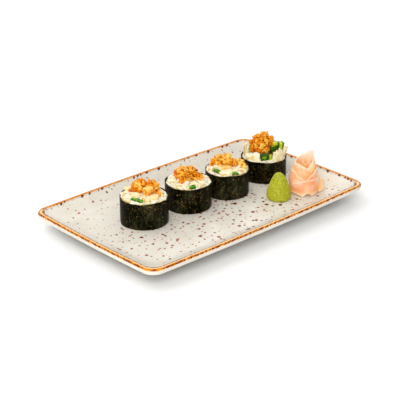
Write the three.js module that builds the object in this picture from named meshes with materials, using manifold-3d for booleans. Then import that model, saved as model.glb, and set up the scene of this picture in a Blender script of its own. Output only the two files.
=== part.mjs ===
// Maki sushi served on its own stoneware dish: four cut rolls with crisp topping,
// a cone of wasabi and a rose of pickled ginger slices.
// Millimetres, +Z up. The origin is under the middle of the dish and +X runs along its long side.
import * as THREE from 'three';
import { ParametricGeometry } from 'three/addons/geometries/ParametricGeometry.js';
import { mergeVertices } from 'three/addons/utils/BufferGeometryUtils.js';
import Module from 'manifold-3d';

const wasm = await Module();
wasm.setup();

// ---------------------------------------------------------------- driving dimensions

const GAP = 0.3;                 // air between neighbouring pieces
const FACING = -43;              // degrees: the food is dressed to be seen from the dish's near corner

const DISH = {
  length: 267, width: 163,       // outline before its sides bow out
  bowEnds: 1.5, bowSides: 2.1,   // how far the middle of an end or a side bows out
  height: 18, well: 8,           // top of the lip, floor of the well
  lip: 5, lipSide: 4.4,          // width of the lip and depth of its outer face
  slope: 14.5,                   // width of the slope from the lip down to the well
  corner: 10.5, wellCorner: 13,  // corner radii of the outline and of the well
  footInset: 25, footWidth: 4.5, recess: 2,
  cornerSteps: 4, sideSteps: 6, endSteps: 4,
};

const NORI = { wall: 0.6, lap: 0.45, lapAngle: 32, sides: 30, ripple: 0.3 };
const GRAIN = { length: 6.4, width: 2.8, count: 6 };
const CRUMB = {
  size: 6.2, spacing: 6.6,
  sunk: 1.3,                     // how far the middle of a crumb lies inside its mound
  fromRim: 2.4, aboveRice: 0.6,  // the least way from its middle to the rim and to the rice
};
const RICE_SIDES = 20;

// Every roll has its own frame: x to the right, y away from the viewer, z up from its cut base.
// Fillings run right through the roll and stand `proud` of its rim; `turn` is in degrees.
// A mound is a part of the crisp heap: its middle above the rim, and its half sizes.
const ROLLS = [
  {
    x: -59.8, y: 14.1, radius: 22.2, height: 24.8, crown: 1.8, seam: 200, seed: 11,
    fillings: {
      surimi: [
        { at: [-7.1, -5.4], size: [7.6, 6.4], proud: 3.7, turn: 12 },
        { at: [-0.4, -8.9], size: [4.6, 4.2], proud: 2.2, turn: -8 },
        { at: [3.7, -14.3], size: [5.6, 5.0], proud: 2.3, turn: 6 },
        { at: [9.5, -9.9], size: [6.4, 6.2], proud: 3.3, turn: -14 },
        { at: [-14.6, 8.4], size: [5.0, 5.0], proud: 3.4, turn: 30 },
      ],
    },
    mounds: [
      { at: [-5.0, 6.5, 3.0], half: [8.6, 7.6, 10.8] },
      { at: [7.5, 6.0, 3.0], half: [6.2, 7.0, 9.2] },
      { at: [12.5, -2.8, 1.5], half: [3.4, 5.4, 3.2] },
      { at: [-12.0, 1.6, 1.8], half: [3.3, 3.6, 3.2] },
    ],
    golden: { at: [3.7, -2.1, 4.7], size: [10.4, 7.4, 9.2], turn: 20 },
    onions: [{ from: [-10.9, -9.7], to: [-0.6, -17.6], width: 2.4, arch: 0.6, lift: 1.1 }],
  },
  {
    x: -8.0, y: 12.1, radius: 21.8, height: 24.0, crown: 1.6, seam: 150, seed: 23,
    fillings: {
      surimi: [{ at: [-8.4, -14.4], size: [6.0, 5.0], proud: 1.8, turn: -20 }],
    },
    mounds: [
      { at: [-4.0, 2.0, 3.0], half: [9.2, 9.6, 10.0] },
      { at: [3.6, 3.0, 4.0], half: [5.4, 6.6, 10.2] },
      { at: [9.0, 1.0, 2.5], half: [5.6, 7.4, 5.6] },
      { at: [-5.4, -9.2, 2.2], half: [3.0, 3.0, 2.6] },
      { at: [-10.4, 5.0, 5.0], half: [3.0, 3.8, 4.8] },
    ],
    onions: [{ from: [1.4, -17.6], to: [7.2, -14.8], width: 3.2, arch: 0.5, lift: 0.9 }],
  },
  {
    x: 39.2, y: 9.4, radius: 20.9, height: 23.7, crown: 1.6, seam: 230, seed: 37,
    fillings: {
      surimi: [
        { at: [-1.7, -14.4], size: [8.8, 4.8], proud: 2.3, turn: 4 },
        { at: [7.3, -9.6], size: [5.8, 5.4], proud: 3.0, turn: -10 },
        { at: [13.7, -6.7], size: [5.2, 5.2], proud: 2.4, turn: 24 },
      ],
    },
    mounds: [
      { at: [-6.0, 4.6, 3.0], half: [9.0, 8.0, 8.6] },
      { at: [0.5, 4.4, 4.0], half: [5.4, 6.6, 9.6] },
      { at: [9.0, 3.4, 2.5], half: [7.2, 7.0, 5.8] },
      { at: [15.0, 2.0, 1.6], half: [2.8, 5.2, 3.6] },
      { at: [-13.2, 3.0, 2.0], half: [3.4, 4.6, 3.8] },
    ],
    golden: { at: [-1.7, -6.2, 2.6], size: [10.0, 6.4, 5.0], turn: -6 },
    onions: [
      { from: [-12.6, -6.6], to: [-7.0, -12.2], width: 2.2, arch: 0.6, lift: 1.0 },
      { from: [4.2, -16.0], to: [10.2, -14.6], width: 1.8, arch: 1.1, lift: 0.9 },
    ],
  },
  {
    x: 92.6, y: 13.3, radius: 22.1, height: 21.5, crown: 0.4, seam: 170, seed: 51, grains: 3,
    fillings: {
      surimi: [
        { at: [-14.0, -7.2], size: [7.2, 6.8], proud: 3.9, turn: 18 },
        { at: [-8.0, -13.7], size: [6.6, 5.4], proud: 6.4, lean: [0.2, 1.6], turn: -4 },
      ],
      shreds: [
        { at: [-17.2, 2.0], size: [4.6, 8.0], proud: 12.2, lean: [-1.8, 0.2], ribs: 2, turn: 0 },
        { at: [12.3, -11.3], size: [9.2, 4.8], proud: 9.4, lean: [0.6, 0.8], ribs: 4, turn: 47 },
        { at: [18.2, -3.6], size: [6.0, 3.2], proud: 11.6, lean: [2.8, 0.2], ribs: 3, turn: 79 },
        { at: [-5.6, 14.6], size: [9.0, 4.4], proud: 8.0, lean: [-0.6, 1.2], ribs: 4, turn: 14 },
      ],
      cucumber: [
        { at: [-0.4, -12.9], size: [5.6, 5.6], proud: 4.9, turn: 45 },
        { at: [5.3, -11.9], size: [3.2, 5.8], proud: 5.1, turn: -6 },
        { at: [7.9, -3.8], size: [4.2, 4.4], proud: 10.8, turn: 8 },
        { at: [11.7, 2.4], size: [3.8, 5.2], proud: 13.0, turn: -5 },
        { at: [16.3, 4.2], size: [4.2, 5.8], proud: 11.6, lean: [0.8, 0.2], turn: 10 },
        { at: [-12.4, 5.6], size: [3.6, 5.0], proud: 10.0, turn: -8 },
        { at: [5.4, 14.4], size: [5.4, 5.0], proud: 8.6, turn: 20 },
      ],
    },
    mounds: [
      { at: [-4.0, 2.2, 9.0], half: [8.8, 8.0, 8.4] },
      { at: [0.4, 4.0, 13.0], half: [5.8, 5.8, 9.8] },
      { at: [4.6, 3.0, 10.0], half: [4.4, 5.6, 7.8] },
      { at: [-1.6, -5.0, 6.2], half: [6.0, 4.6, 5.0] },
      { at: [-9.2, 0.4, 8.4], half: [3.8, 4.6, 7.0] },
    ],
    onions: [],
  },
];

const WASABI = {
  x: 64.8, y: -33.9, sides: 22,
  // radius at each height of the pressed cone
  profile: [[0, 0], [10.6, 0], [11.5, 1], [11.75, 2.8], [10.7, 7.7], [8.7, 13.9], [6.4, 20.1],
    [4.6, 23.3], [2.0, 25.2], [0, 25.4]],
  unevenness: 0.22,
};

const ROSE = {
  x: 94.0, y: -38.4, slice: 0.8,
  // radius of the outermost slice at each height, and the height of the whole rose
  outline: [[0, 13.4], [7, 14.4], [14, 14.8], [20, 14.2], [24, 13.5], [28, 12.3], [31, 11], [35, 9.5],
    [42, 7.5]],
};

// A slice of ginger covers `arc` degrees of the rose, counted from the front to the right.
// `inset` is its depth below the outermost slice and `top` the height of its upper edge,
// both spread evenly along the arc.
const SLICES = [
  {
    arc: [-78, 84], inset: [0, 0], foot: [0.4, 2.2, 0.2, 2.0, 0.2, 0.8],
    top: [6, 12, 15.2, 16.3, 16.6, 16.4], flare: 1.6,
  },
  { arc: [-128, 8], inset: [0, 0.5, 1.3, 1.5, 1.7], foot: [0.3], top: [22, 24.5, 23, 18.6, 15] },
  { arc: [6, 132], inset: [2.9, 2.0, 1.2, 0.4], foot: [0.3], top: [15.6, 20, 24, 24.5, 22] },
  { arc: [114, 242], inset: [2.0, 2.0], foot: [0.3], top: [19, 23, 22, 20] },
  { arc: [-104, -12], inset: [2.6, 3.0, 3.3, 3.5], foot: [1.5], top: [27, 30.5, 28, 15.6] },
  { arc: [-58, 58], inset: [4.8, 4.9, 4.6, 4.2], foot: [2], top: [29.4, 27.6, 25.2, 20.4] },
  { arc: [2, 112], inset: [6.1, 6.0, 5.3, 4.7], foot: [2], top: [25.4, 30, 32.6, 31] },
  {
    arc: [97, 286], inset: [3.4, 3.4, 3.6, 4.2, 4.7], foot: [1.5],
    top: [30, 41.5, 33, 30.5, 28], tip: 4.6,
  },
  { arc: [-126, -14], inset: [6.2, 6.5, 6.6], foot: [6], top: [31.5, 30, 26.5] },
  { arc: [-40, 215], inset: [8.2, 8.0, 7.6, 7.2], foot: [8], top: [29, 33.5, 34.5, 31] },
];
// The loose slice stands beside the rose on a curved line and leans in towards it.
const TAIL = {
  start: [11.6, 11.6], bend: [18, 8], end: [20.6, -0.5],
  foot: [0.3, 0.3, 0.3, 2.5], top: [15, 16, 13, 6], lean: 0.08,
};

const COLOURS = {
  glaze: 0xe9e4d8, nori: 0x16190f, rice: 0xf3eee0, surimi: 0xf4e8cc, shreds: 0xefe3c6,
  cucumber: 0x3f7a1c, crisp: 0xee8a1e, golden: 0xf0b24a, onion: 0x3d8a12,
  wasabi: 0xb4b838, ginger: 0xf2b488,
};

// ---------------------------------------------------------------- small helpers

const degrees = THREE.MathUtils.degToRad;

// Seeded random numbers in 0..1, so that every build is the same.
function randomFrom(seed) {
  let state = seed * 2654435761 >>> 0;
  return () => {
    state = (state * 1664525 + 1013904223) >>> 0;
    return state / 4294967296;
  };
}

// The value of an evenly spread list at t in 0..1, blended smoothly from one entry to the next.
function along(list, t) {
  const place = THREE.MathUtils.clamp(t, 0, 1) * (list.length - 1);
  const index = Math.min(Math.floor(place), Math.max(list.length - 2, 0));
  const next = list[Math.min(index + 1, list.length - 1)];
  return THREE.MathUtils.lerp(list[index], next, THREE.MathUtils.smoothstep(place - index, 0, 1));
}

// Linear look-up in [[x, y], ...] pairs.
function lookUp(pairs, x) {
  const next = Math.max(1, pairs.findIndex(([start]) => start >= x));
  const [[x0, y0], [x1, y1]] = x > pairs.at(-1)[0] ? pairs.slice(-2) : [pairs[next - 1], pairs[next]];
  return y0 + (y1 - y0) * (x - x0) / (x1 - x0);
}

// Only positions are kept, and shared corners are merged.
function welded(geometry) {
  const shell = geometry.clone();
  shell.deleteAttribute('normal');
  shell.deleteAttribute('uv');
  return mergeVertices(shell, 1e-3);
}

// A closed geometry as a solid, turned outside out where its faces point in.
function solidOf(geometry) {
  const shell = welded(geometry);
  const corner = shell.index.array;
  const point = (i) => new THREE.Vector3().fromBufferAttribute(shell.attributes.position, i);
  const faces = [];
  let volume = 0;
  for (let i = 0; i < corner.length; i += 3) {
    const [a, b, c] = [corner[i], corner[i + 1], corner[i + 2]];
    if (a === b || b === c || c === a) continue;
    faces.push([a, b, c]);
    volume += point(a).dot(point(b).cross(point(c)));
  }
  const triVerts = Uint32Array.from(faces.flatMap(([a, b, c]) => (volume > 0 ? [a, b, c] : [a, c, b])));
  const vertProperties = Float32Array.from(shell.attributes.position.array);
  return new wasm.Manifold(new wasm.Mesh({ numProp: 3, vertProperties, triVerts }));
}

function geometryOf(solid) {
  const { vertProperties, triVerts } = solid.getMesh();
  const geometry = new THREE.BufferGeometry();
  geometry.setAttribute('position', new THREE.BufferAttribute(Float32Array.from(vertProperties), 3));
  geometry.setIndex(Array.from(triVerts));
  geometry.computeVertexNormals();
  return geometry;
}

const join = (solids) => solids.reduce((whole, solid) => whole.add(solid));
const cut = (solid, cutters) => cutters.reduce((left, cutter) => left.subtract(cutter), solid);

// The largest body of a solid: scraps that a cut has loosened are dropped.
function largest(solid) {
  return solid.decompose().sort((a, b) => b.volume() - a.volume())[0];
}

// A closed skin of rings. pointAt(ring, side, target) places the corner of a ring, and the
// first and last rings shrink to one point each.
function ringSkin(rings, sides, pointAt) {
  return new ParametricGeometry((u, v, target) => {
    pointAt(Math.round(v * (rings - 1)), Math.round(u * sides) % sides, target);
  }, sides, rings - 1);
}

// A thin curved sheet of even thickness about the surface pointAt(t, s), both in 0..1.
// Its two faces share one grid, so they are split into the same triangles.
function sheet(pointAt, across, up, thickness) {
  const grid = new THREE.PlaneGeometry(1, 1, across, up);
  const count = grid.attributes.position.count;
  const step = 1e-3;
  const points = [];
  for (const side of [0.5, -0.5]) {
    for (let i = 0; i < count; i++) {
      const t = grid.attributes.position.getX(i) + 0.5;
      const s = grid.attributes.position.getY(i) + 0.5;
      const sideways = pointAt(t + step, s).sub(pointAt(t - step, s));
      const upwards = pointAt(t, s + step).sub(pointAt(t, s - step));
      const normal = sideways.cross(upwards).normalize();
      points.push(...pointAt(t, s).addScaledVector(normal, side * thickness).toArray());
    }
  }
  const front = Array.from(grid.index.array);
  const faces = [...front];
  for (let i = 0; i < front.length; i += 3) {
    faces.push(front[i] + count, front[i + 2] + count, front[i + 1] + count);
  }
  const corner = (column, row) => row * (across + 1) + column;
  const border = [];
  for (let column = 0; column < across; column++) border.push(corner(column, up));
  for (let row = up; row > 0; row--) border.push(corner(across, row));
  for (let column = across; column > 0; column--) border.push(corner(column, 0));
  for (let row = 0; row < up; row++) border.push(corner(0, row));
  border.forEach((here, i) => {
    const next = border[(i + 1) % border.length];
    faces.push(next, here, here + count, next, here + count, next + count);
  });
  const geometry = new THREE.BufferGeometry();
  geometry.setAttribute('position', new THREE.Float32BufferAttribute(points, 3));
  geometry.setIndex(faces);
  return geometry;
}

// A rounded, slightly irregular lump. blocky 0 is an ellipsoid and 1 a block.
function lump({ size, blocky = 0, rough = 0, shape, random }, grow = 0) {
  const geometry = welded(shape ?? new THREE.IcosahedronGeometry(1, 1));
  const position = geometry.attributes.position;
  for (let i = 0; i < position.count; i++) {
    const direction = new THREE.Vector3().fromBufferAttribute(position, i);
    const longest = Math.max(Math.abs(direction.x), Math.abs(direction.y), Math.abs(direction.z));
    const reach = (1 + blocky * (1 / longest - 1)) * (1 + rough * (random() - 0.5));
    position.setXYZ(i, direction.x * reach * (size[0] / 2 + grow),
      direction.y * reach * (size[1] / 2 + grow), direction.z * reach * (size[2] / 2 + grow));
  }
  return geometry;
}

function addPiece(group, name, solid, colour, roughness) {
  const material = new THREE.MeshStandardMaterial({ color: colour, roughness, metalness: 0 });
  const mesh = new THREE.Mesh(geometryOf(solid), material);
  mesh.name = name;
  group.add(mesh);
}

// ---------------------------------------------------------------- dish

// Corners of the dish's outline, moved inwards by `inset`, as points from the near left side round.
function dishOutline(inset) {
  const { corner, wellCorner, lip, slope } = DISH;
  const round = THREE.MathUtils.mapLinear(Math.min(inset, lip + slope), 0, lip + slope, corner, wellCorner);
  const halfLength = DISH.length / 2 - inset;
  const halfWidth = DISH.width / 2 - inset;
  const points = [];
  const addArc = (x, y, start) => {
    for (let i = 0; i <= DISH.cornerSteps; i++) {
      const angle = degrees(start + 90 * i / DISH.cornerSteps);
      points.push(new THREE.Vector2(x + round * Math.cos(angle), y + round * Math.sin(angle)));
    }
  };
  const addSide = (end, steps) => {
    const start = points.at(-1);
    for (let i = 1; i < steps; i++) points.push(start.clone().lerp(end, i / steps));
  };
  const x = halfLength - round;
  const y = halfWidth - round;
  addArc(-x, -y, 180);
  addSide(new THREE.Vector2(x, -y - round), DISH.sideSteps);
  addArc(x, -y, 270);
  addSide(new THREE.Vector2(x + round, y), DISH.endSteps);
  addArc(x, y, 0);
  addSide(new THREE.Vector2(-x, y + round), DISH.sideSteps);
  addArc(-x, y, 90);
  addSide(new THREE.Vector2(-x - round, -y), DISH.endSteps);
  return points.map((point) => new THREE.Vector2(
    point.x * (1 + DISH.bowEnds / halfLength * (1 - (point.y / halfWidth) ** 2)),
    point.y * (1 + DISH.bowSides / halfWidth * (1 - (point.x / halfLength) ** 2)),
  ));
}

function dish() {
  const { height, well, lip, slope, lipSide, footInset, footWidth, recess } = DISH;
  const drop = height - well;
  const down = (share, fall) => [lip + slope * share, height - drop * fall];
  // the section as [inset from the outline, height], from the middle of the well over the lip to the foot
  const section = [
    down(1, 1), down(0.82, 0.93), down(0.52, 0.64), down(0.16, 0.2),
    [lip, height - 0.5], [lip - 1.4, height], [1.4, height], [0.35, height - 0.6], [0, height - 1.6],
    [0.3, height - lipSide], [1.6, height - lipSide - 1.3],
    [footInset - 1.2, 1.2], [footInset, 0], [footInset + footWidth, 0],
    [footInset + footWidth + 1.2, recess],
  ];
  const rings = section.map(([inset, z]) => dishOutline(inset).map((p) => new THREE.Vector3(p.x, p.y, z)));
  const ends = [new THREE.Vector3(0, 0, well), new THREE.Vector3(0, 0, recess)];
  return ringSkin(rings.length + 2, rings[0].length, (ring, side, target) => {
    if (ring === 0) target.copy(ends[0]);
    else if (ring > rings.length) target.copy(ends[1]);
    else target.copy(rings[ring - 1][side]);
  });
}

// ---------------------------------------------------------------- rolls

// One sheet of nori round the roll, with the lap where its end is pasted down.
function noriWrap({ radius, height, seam, seed }) {
  const outline = new THREE.Shape();
  const hole = new THREE.Path();
  const inner = radius - NORI.wall;
  for (let i = 0; i < NORI.sides; i++) {
    const angle = 2 * Math.PI * i / NORI.sides;
    const past = THREE.MathUtils.euclideanModulo(angle - degrees(seam), 2 * Math.PI);
    const onLap = past < degrees(NORI.lapAngle) ? 1 - (past / degrees(NORI.lapAngle)) ** 4 : 0;
    const outer = radius + NORI.lap * (onLap - 0.5) * 0.9;
    if (i === 0) {
      outline.moveTo(outer * Math.cos(angle), outer * Math.sin(angle));
      hole.moveTo(inner * Math.cos(angle), inner * Math.sin(angle));
    } else {
      outline.lineTo(outer * Math.cos(angle), outer * Math.sin(angle));
      hole.lineTo(inner * Math.cos(angle), inner * Math.sin(angle));
    }
  }
  outline.holes.push(hole);
  const geometry = new THREE.ExtrudeGeometry(outline, { depth: height, bevelEnabled: false });
  const position = geometry.attributes.position;
  for (let i = 0; i < position.count; i++) {
    if (position.getZ(i) < height / 2) continue;
    const angle = Math.atan2(position.getY(i), position.getX(i));
    const ripple = Math.sin(3 * angle + seed) + 0.6 * Math.sin(7 * angle + 2 * seed);
    position.setZ(i, height + NORI.ripple * ripple);
  }
  return geometry;
}

// Height of the packed rice at a place on the roll's cut face.
function riceTop(roll, x, y) {
  const distance = Math.hypot(x, y) / roll.radius;
  const lumps = Math.sin(0.75 * x + roll.seed) * Math.sin(0.82 * y + 1.7 * roll.seed);
  return roll.height + roll.crown * (1 - distance ** 4) - 0.5 * distance ** 8 + 0.35 * lumps;
}

// The bed of rice that fills the nori, with the grains that show on top fused on.
function riceBed(roll, grow = 0) {
  const reach = roll.radius - NORI.wall - GAP + grow;
  const shares = [0, 0.42, 0.76, 0.94, 1, 1, 0];
  const lastTop = 4;
  const core = solidOf(ringSkin(shares.length, RICE_SIDES, (ring, side, target) => {
    const angle = 2 * Math.PI * side / RICE_SIDES;
    const x = shares[ring] * reach * Math.cos(angle);
    const y = shares[ring] * reach * Math.sin(angle);
    const edge = ring === lastTop ? 0.5 : 0;
    target.set(x, y, ring > lastTop ? 0 : riceTop(roll, x, y) - edge + grow);
  }));
  const random = randomFrom(roll.seed);
  const wanted = roll.grains ?? GRAIN.count;
  const grains = [];
  for (let tries = 0; grains.length < wanted && tries < 400; tries++) {
    const angle = 2 * Math.PI * random();
    const distance = Math.sqrt(0.1 + 0.9 * random()) * (reach - grow - GRAIN.length / 2);
    const [x, y] = [distance * Math.cos(angle), distance * Math.sin(angle)];
    const turn = Math.PI * random();
    const covered = roll.mounds.some(({ at, half }) => (
      Math.hypot((x - at[0]) / (half[0] + 0.5), (y - at[1]) / (half[1] + 0.5)) < 0.9));
    const onFilling = Object.values(roll.fillings).flat().some(({ at, size }) => (
      Math.hypot(x - at[0], y - at[1]) < (size[0] + size[1]) / 4 + 0.8));
    if (covered || onFilling) continue;
    const grain = new THREE.IcosahedronGeometry(1, 0);
    grain.scale(GRAIN.length / 2 + grow, GRAIN.width / 2 + grow, GRAIN.width / 2 + grow);
    grain.rotateZ(turn);
    grain.translate(x, y, riceTop(roll, x, y) + 0.25);
    grains.push(solidOf(grain));
  }
  return join([core, ...grains]);
}

// A strip of filling that stands on the dish and runs up through the roll. Its section is a
// rounded rectangle, ribbed where the strip is a bundle of shreds, and above the rim it leans.
function fillingStrip(roll, spec, grow = 0) {
  const { at, size, proud, turn, lean = [0, 0], ribs = 0 } = spec;
  const sides = ribs ? 4 * ribs + 2 : 8;
  const top = roll.height + proud;
  // [share of the section, height] of every ring from the base to the crown
  const rings = [[0, -grow], [1, -grow], [0.97, top - 1], [0.72, top], [0, top]];
  if (spec.lean) rings.splice(2, 0, [1, roll.height + 0.6]);
  const spin = degrees(turn);
  return ringSkin(rings.length, sides, (ring, side, target) => {
    const [share, z] = rings[ring];
    const angle = 2 * Math.PI * (side + 0.5) / sides;
    const [c, s] = [Math.cos(angle), Math.sin(angle)];
    const groove = ribs && side % 2 ? 0.8 : 1;
    const x = Math.sign(c) * Math.abs(c) ** 0.55 * (size[0] / 2 + grow) * share;
    const y = Math.sign(s) * Math.abs(s) ** 0.55 * (size[1] / 2 * groove + grow) * share;
    const isTop = z > top - 1.5;
    const ragged = isTop ? (ribs ? 0.7 : 0.3) * Math.sin(1.3 * x + at[1]) : 0;
    const above = Math.max(0, z - roll.height - 0.6) / (proud - 0.6);
    target.set(
      at[0] + x * Math.cos(spin) - y * Math.sin(spin) + lean[0] * above,
      at[1] + x * Math.sin(spin) + y * Math.cos(spin) + lean[1] * above,
      z + ragged + (isTop ? grow : 0),
    );
  });
}

// A fried golden piece that lies in the crisp topping.
function goldenPiece(roll, grow = 0) {
  const { at, size, turn } = roll.golden;
  const piece = lump({ size, blocky: 0.35, rough: 0.14, random: randomFrom(roll.seed + 3) }, grow);
  piece.rotateZ(degrees(turn));
  piece.translate(at[0], at[1], roll.height + at[2]);
  return piece;
}

// A shaving of spring onion lying on the rice, arched along its length.
function onionShaving(roll, { from, to, width, arch, lift }, grow = 0) {
  const lengthways = new THREE.Vector2(...to).sub(new THREE.Vector2(...from)).normalize();
  const start = new THREE.Vector2(...from).addScaledVector(lengthways, -grow);
  const end = new THREE.Vector2(...to).addScaledVector(lengthways, grow);
  const across = lengthways.clone().rotateAround(new THREE.Vector2(), Math.PI / 2);
  return sheet((t, s) => {
    const half = (width / 2 + grow) * Math.sqrt(Math.max(0.25, 1 - (2 * t - 1) ** 4));
    const middle = start.clone().lerp(end, t).addScaledVector(across, (2 * s - 1) * half);
    const rise = arch * Math.sin(Math.PI * t);
    return new THREE.Vector3(middle.x, middle.y, riceTop(roll, middle.x, middle.y) + lift + rise);
  }, 5, 1, 0.8 + 2 * grow);
}

// The heap of crisp crumbs: rounded mounds with crumbs spread evenly over them.
function crispHeap(roll) {
  const random = randomFrom(roll.seed + 7);
  const solids = [];
  const placed = [];
  for (const { at, half } of roll.mounds) {
    const shape = new THREE.IcosahedronGeometry(1, Math.max(...half) > 6 ? 1 : 0);
    const core = lump({ size: half.map((h) => 2 * (h - 0.6)), rough: 0.12, shape, random });
    core.translate(at[0], at[1], roll.height + at[2]);
    solids.push(solidOf(core));
  }
  const inside = (point, skip) => roll.mounds.some(({ at, half }, i) => i !== skip && Math.hypot(
    (point.x - at[0]) / half[0], (point.y - at[1]) / half[1],
    (point.z - roll.height - at[2]) / half[2]) < 0.86);
  const goldenAngle = Math.PI * (3 - Math.sqrt(5));
  roll.mounds.forEach(({ at, half }, index) => {
    // a spiral of places from the top of the mound to a little below its middle
    const steps = Math.round(10 + 3.2 * Math.max(...half));
    for (let i = 0; i < steps; i++) {
      const level = 1 - 1.5 * (i + 0.5) / steps;
      const angle = i * goldenAngle + index;
      const ring = Math.sqrt(1 - level ** 2);
      const [a, b, c] = half.map((reach) => reach - CRUMB.sunk);
      const point = new THREE.Vector3(
        at[0] + a * ring * Math.cos(angle),
        at[1] + b * ring * Math.sin(angle),
        roll.height + at[2] + c * level,
      );
      const low = point.z < riceTop(roll, point.x, point.y) + CRUMB.aboveRice;
      const near = placed.some((other) => other.distanceTo(point) < CRUMB.spacing);
      const out = Math.hypot(point.x, point.y) > roll.radius - CRUMB.fromRim;
      if (low || near || out || inside(point, index)) continue;
      placed.push(point);
      const size = [1.25, 0.95, 0.75].map((share) => CRUMB.size * share * (0.75 + 0.5 * random()));
      const crumb = lump({ size, rough: 0.4, shape: new THREE.IcosahedronGeometry(1.05, 0), random });
      crumb.rotateX(2 * Math.PI * random());
      crumb.rotateZ(2 * Math.PI * random());
      crumb.translate(point.x, point.y, point.z);
      solids.push(solidOf(crumb));
    }
  });
  return join(solids);
}

// A disc over the nori's edge and the rice, which keeps the heap clear of both.
function rimSeat(roll) {
  const reach = roll.radius + CRUMB.size;
  const seat = new THREE.CylinderGeometry(reach, reach, roll.height, 24);
  seat.rotateX(Math.PI / 2);
  seat.translate(0, 0, roll.height / 2 + GAP);
  return solidOf(seat);
}

function addRoll(dishGroup, roll, number) {
  const group = new THREE.Group();
  group.position.set(roll.x, roll.y, DISH.well + GAP);
  group.rotation.z = degrees(FACING);
  dishGroup.add(group);

  const strips = Object.values(roll.fillings).flat();
  const cutters = strips.map((spec) => solidOf(fillingStrip(roll, spec, GAP)));
  if (roll.golden) cutters.push(solidOf(goldenPiece(roll, GAP)));
  roll.onions.forEach((onion) => cutters.push(solidOf(onionShaving(roll, onion, 2 * GAP))));

  addPiece(group, `nori_${number}`, solidOf(noriWrap(roll)), COLOURS.nori, 0.45);
  addPiece(group, `rice_${number}`, largest(cut(riceBed(roll), cutters)), COLOURS.rice, 0.5);
  const heap = cut(crispHeap(roll), [riceBed(roll, GAP), rimSeat(roll), ...cutters]);
  addPiece(group, `crisp_${number}`, largest(heap), COLOURS.crisp, 0.5);
  for (const [kind, specs] of Object.entries(roll.fillings)) {
    specs.forEach((spec, i) => {
      addPiece(group, `${kind}_${number}_${i + 1}`, solidOf(fillingStrip(roll, spec)), COLOURS[kind], 0.45);
    });
  }
  if (roll.golden) addPiece(group, `golden_${number}`, solidOf(goldenPiece(roll)), COLOURS.golden, 0.35);
  roll.onions.forEach((onion, i) => {
    addPiece(group, `onion_${number}_${i + 1}`, solidOf(onionShaving(roll, onion)), COLOURS.onion, 0.4);
  });
}

// ---------------------------------------------------------------- wasabi and ginger

function wasabiCone() {
  const { profile, sides, unevenness } = WASABI;
  return ringSkin(profile.length, sides, (ring, side, target) => {
    const [radius, z] = profile[ring];
    const angle = 2 * Math.PI * side / sides;
    const wobble = unevenness * Math.sin(2 * angle + ring) + unevenness * Math.sin(5 * angle + 2.3 * ring);
    const reach = radius > 0 ? radius + (z > 0 ? wobble : 0) : 0;
    target.set(reach * Math.cos(angle), reach * Math.sin(angle), z);
  });
}

// One slice of ginger wrapped round the rose.
function gingerSlice({ arc, inset, foot, top, flare = 0, tip = 0 }) {
  const across = Math.round((arc[1] - arc[0]) / 19);
  return sheet((t, s) => {
    const angle = degrees(THREE.MathUtils.lerp(arc[0], arc[1], t));
    const z = THREE.MathUtils.lerp(along(foot, t), along(top, t), s);
    const spread = flare * Math.exp(-z / 2.4);
    const lean = tip * Math.max(0, (z - 24) / 17) ** 2;
    const radius = lookUp(ROSE.outline, z) - along(inset, t) + spread + lean;
    return new THREE.Vector3(radius * Math.sin(angle), -radius * Math.cos(angle), z + GAP);
  }, across, 3, ROSE.slice);
}

// The loose slice that stands against the rose's side.
function gingerTail() {
  const { start, bend, end, foot, top, lean } = TAIL;
  const line = new THREE.QuadraticBezierCurve(
    new THREE.Vector2(...start), new THREE.Vector2(...bend), new THREE.Vector2(...end));
  return sheet((t, s) => {
    const z = THREE.MathUtils.lerp(along(foot, t), along(top, t), s);
    const place = line.getPoint(t).multiplyScalar(1 - lean * z / Math.max(...top));
    return new THREE.Vector3(place.x, place.y, z + GAP);
  }, 4, 3, ROSE.slice);
}

function addGarnish(dishGroup) {
  const cone = new THREE.Group();
  cone.position.set(WASABI.x, WASABI.y, DISH.well + GAP);
  addPiece(cone, 'wasabi', solidOf(wasabiCone()), COLOURS.wasabi, 0.6);
  const rose = new THREE.Group();
  rose.position.set(ROSE.x, ROSE.y, DISH.well + GAP);
  rose.rotation.z = degrees(FACING);
  const slices = [...SLICES.map(gingerSlice), gingerTail()];
  slices.forEach((slice, i) => addPiece(rose, `ginger_${i + 1}`, solidOf(slice), COLOURS.ginger, 0.35));
  dishGroup.add(cone, rose);
}

// ---------------------------------------------------------------- the whole

const sushi = new THREE.Group();
addPiece(sushi, 'dish', solidOf(dish()), COLOURS.glaze, 0.2);
ROLLS.forEach((roll, i) => addRoll(sushi, roll, i + 1));
addGarnish(sushi);

export default sushi;
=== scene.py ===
# %% [markdown]
# # Maki sushi on a speckled dish
# A serving of four cut rolls with a crisp topping, a cone of wasabi and a rose of pickled
# ginger, on a rectangular stoneware dish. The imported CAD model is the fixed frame: it says
# where everything goes and how large it is. Each cell below makes one piece or one finish.

# %% Load the frame
import math
import random

import bmesh
import bpy
from mathutils import Matrix, Vector, noise
from mathutils.geometry import intersect_point_line


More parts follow.
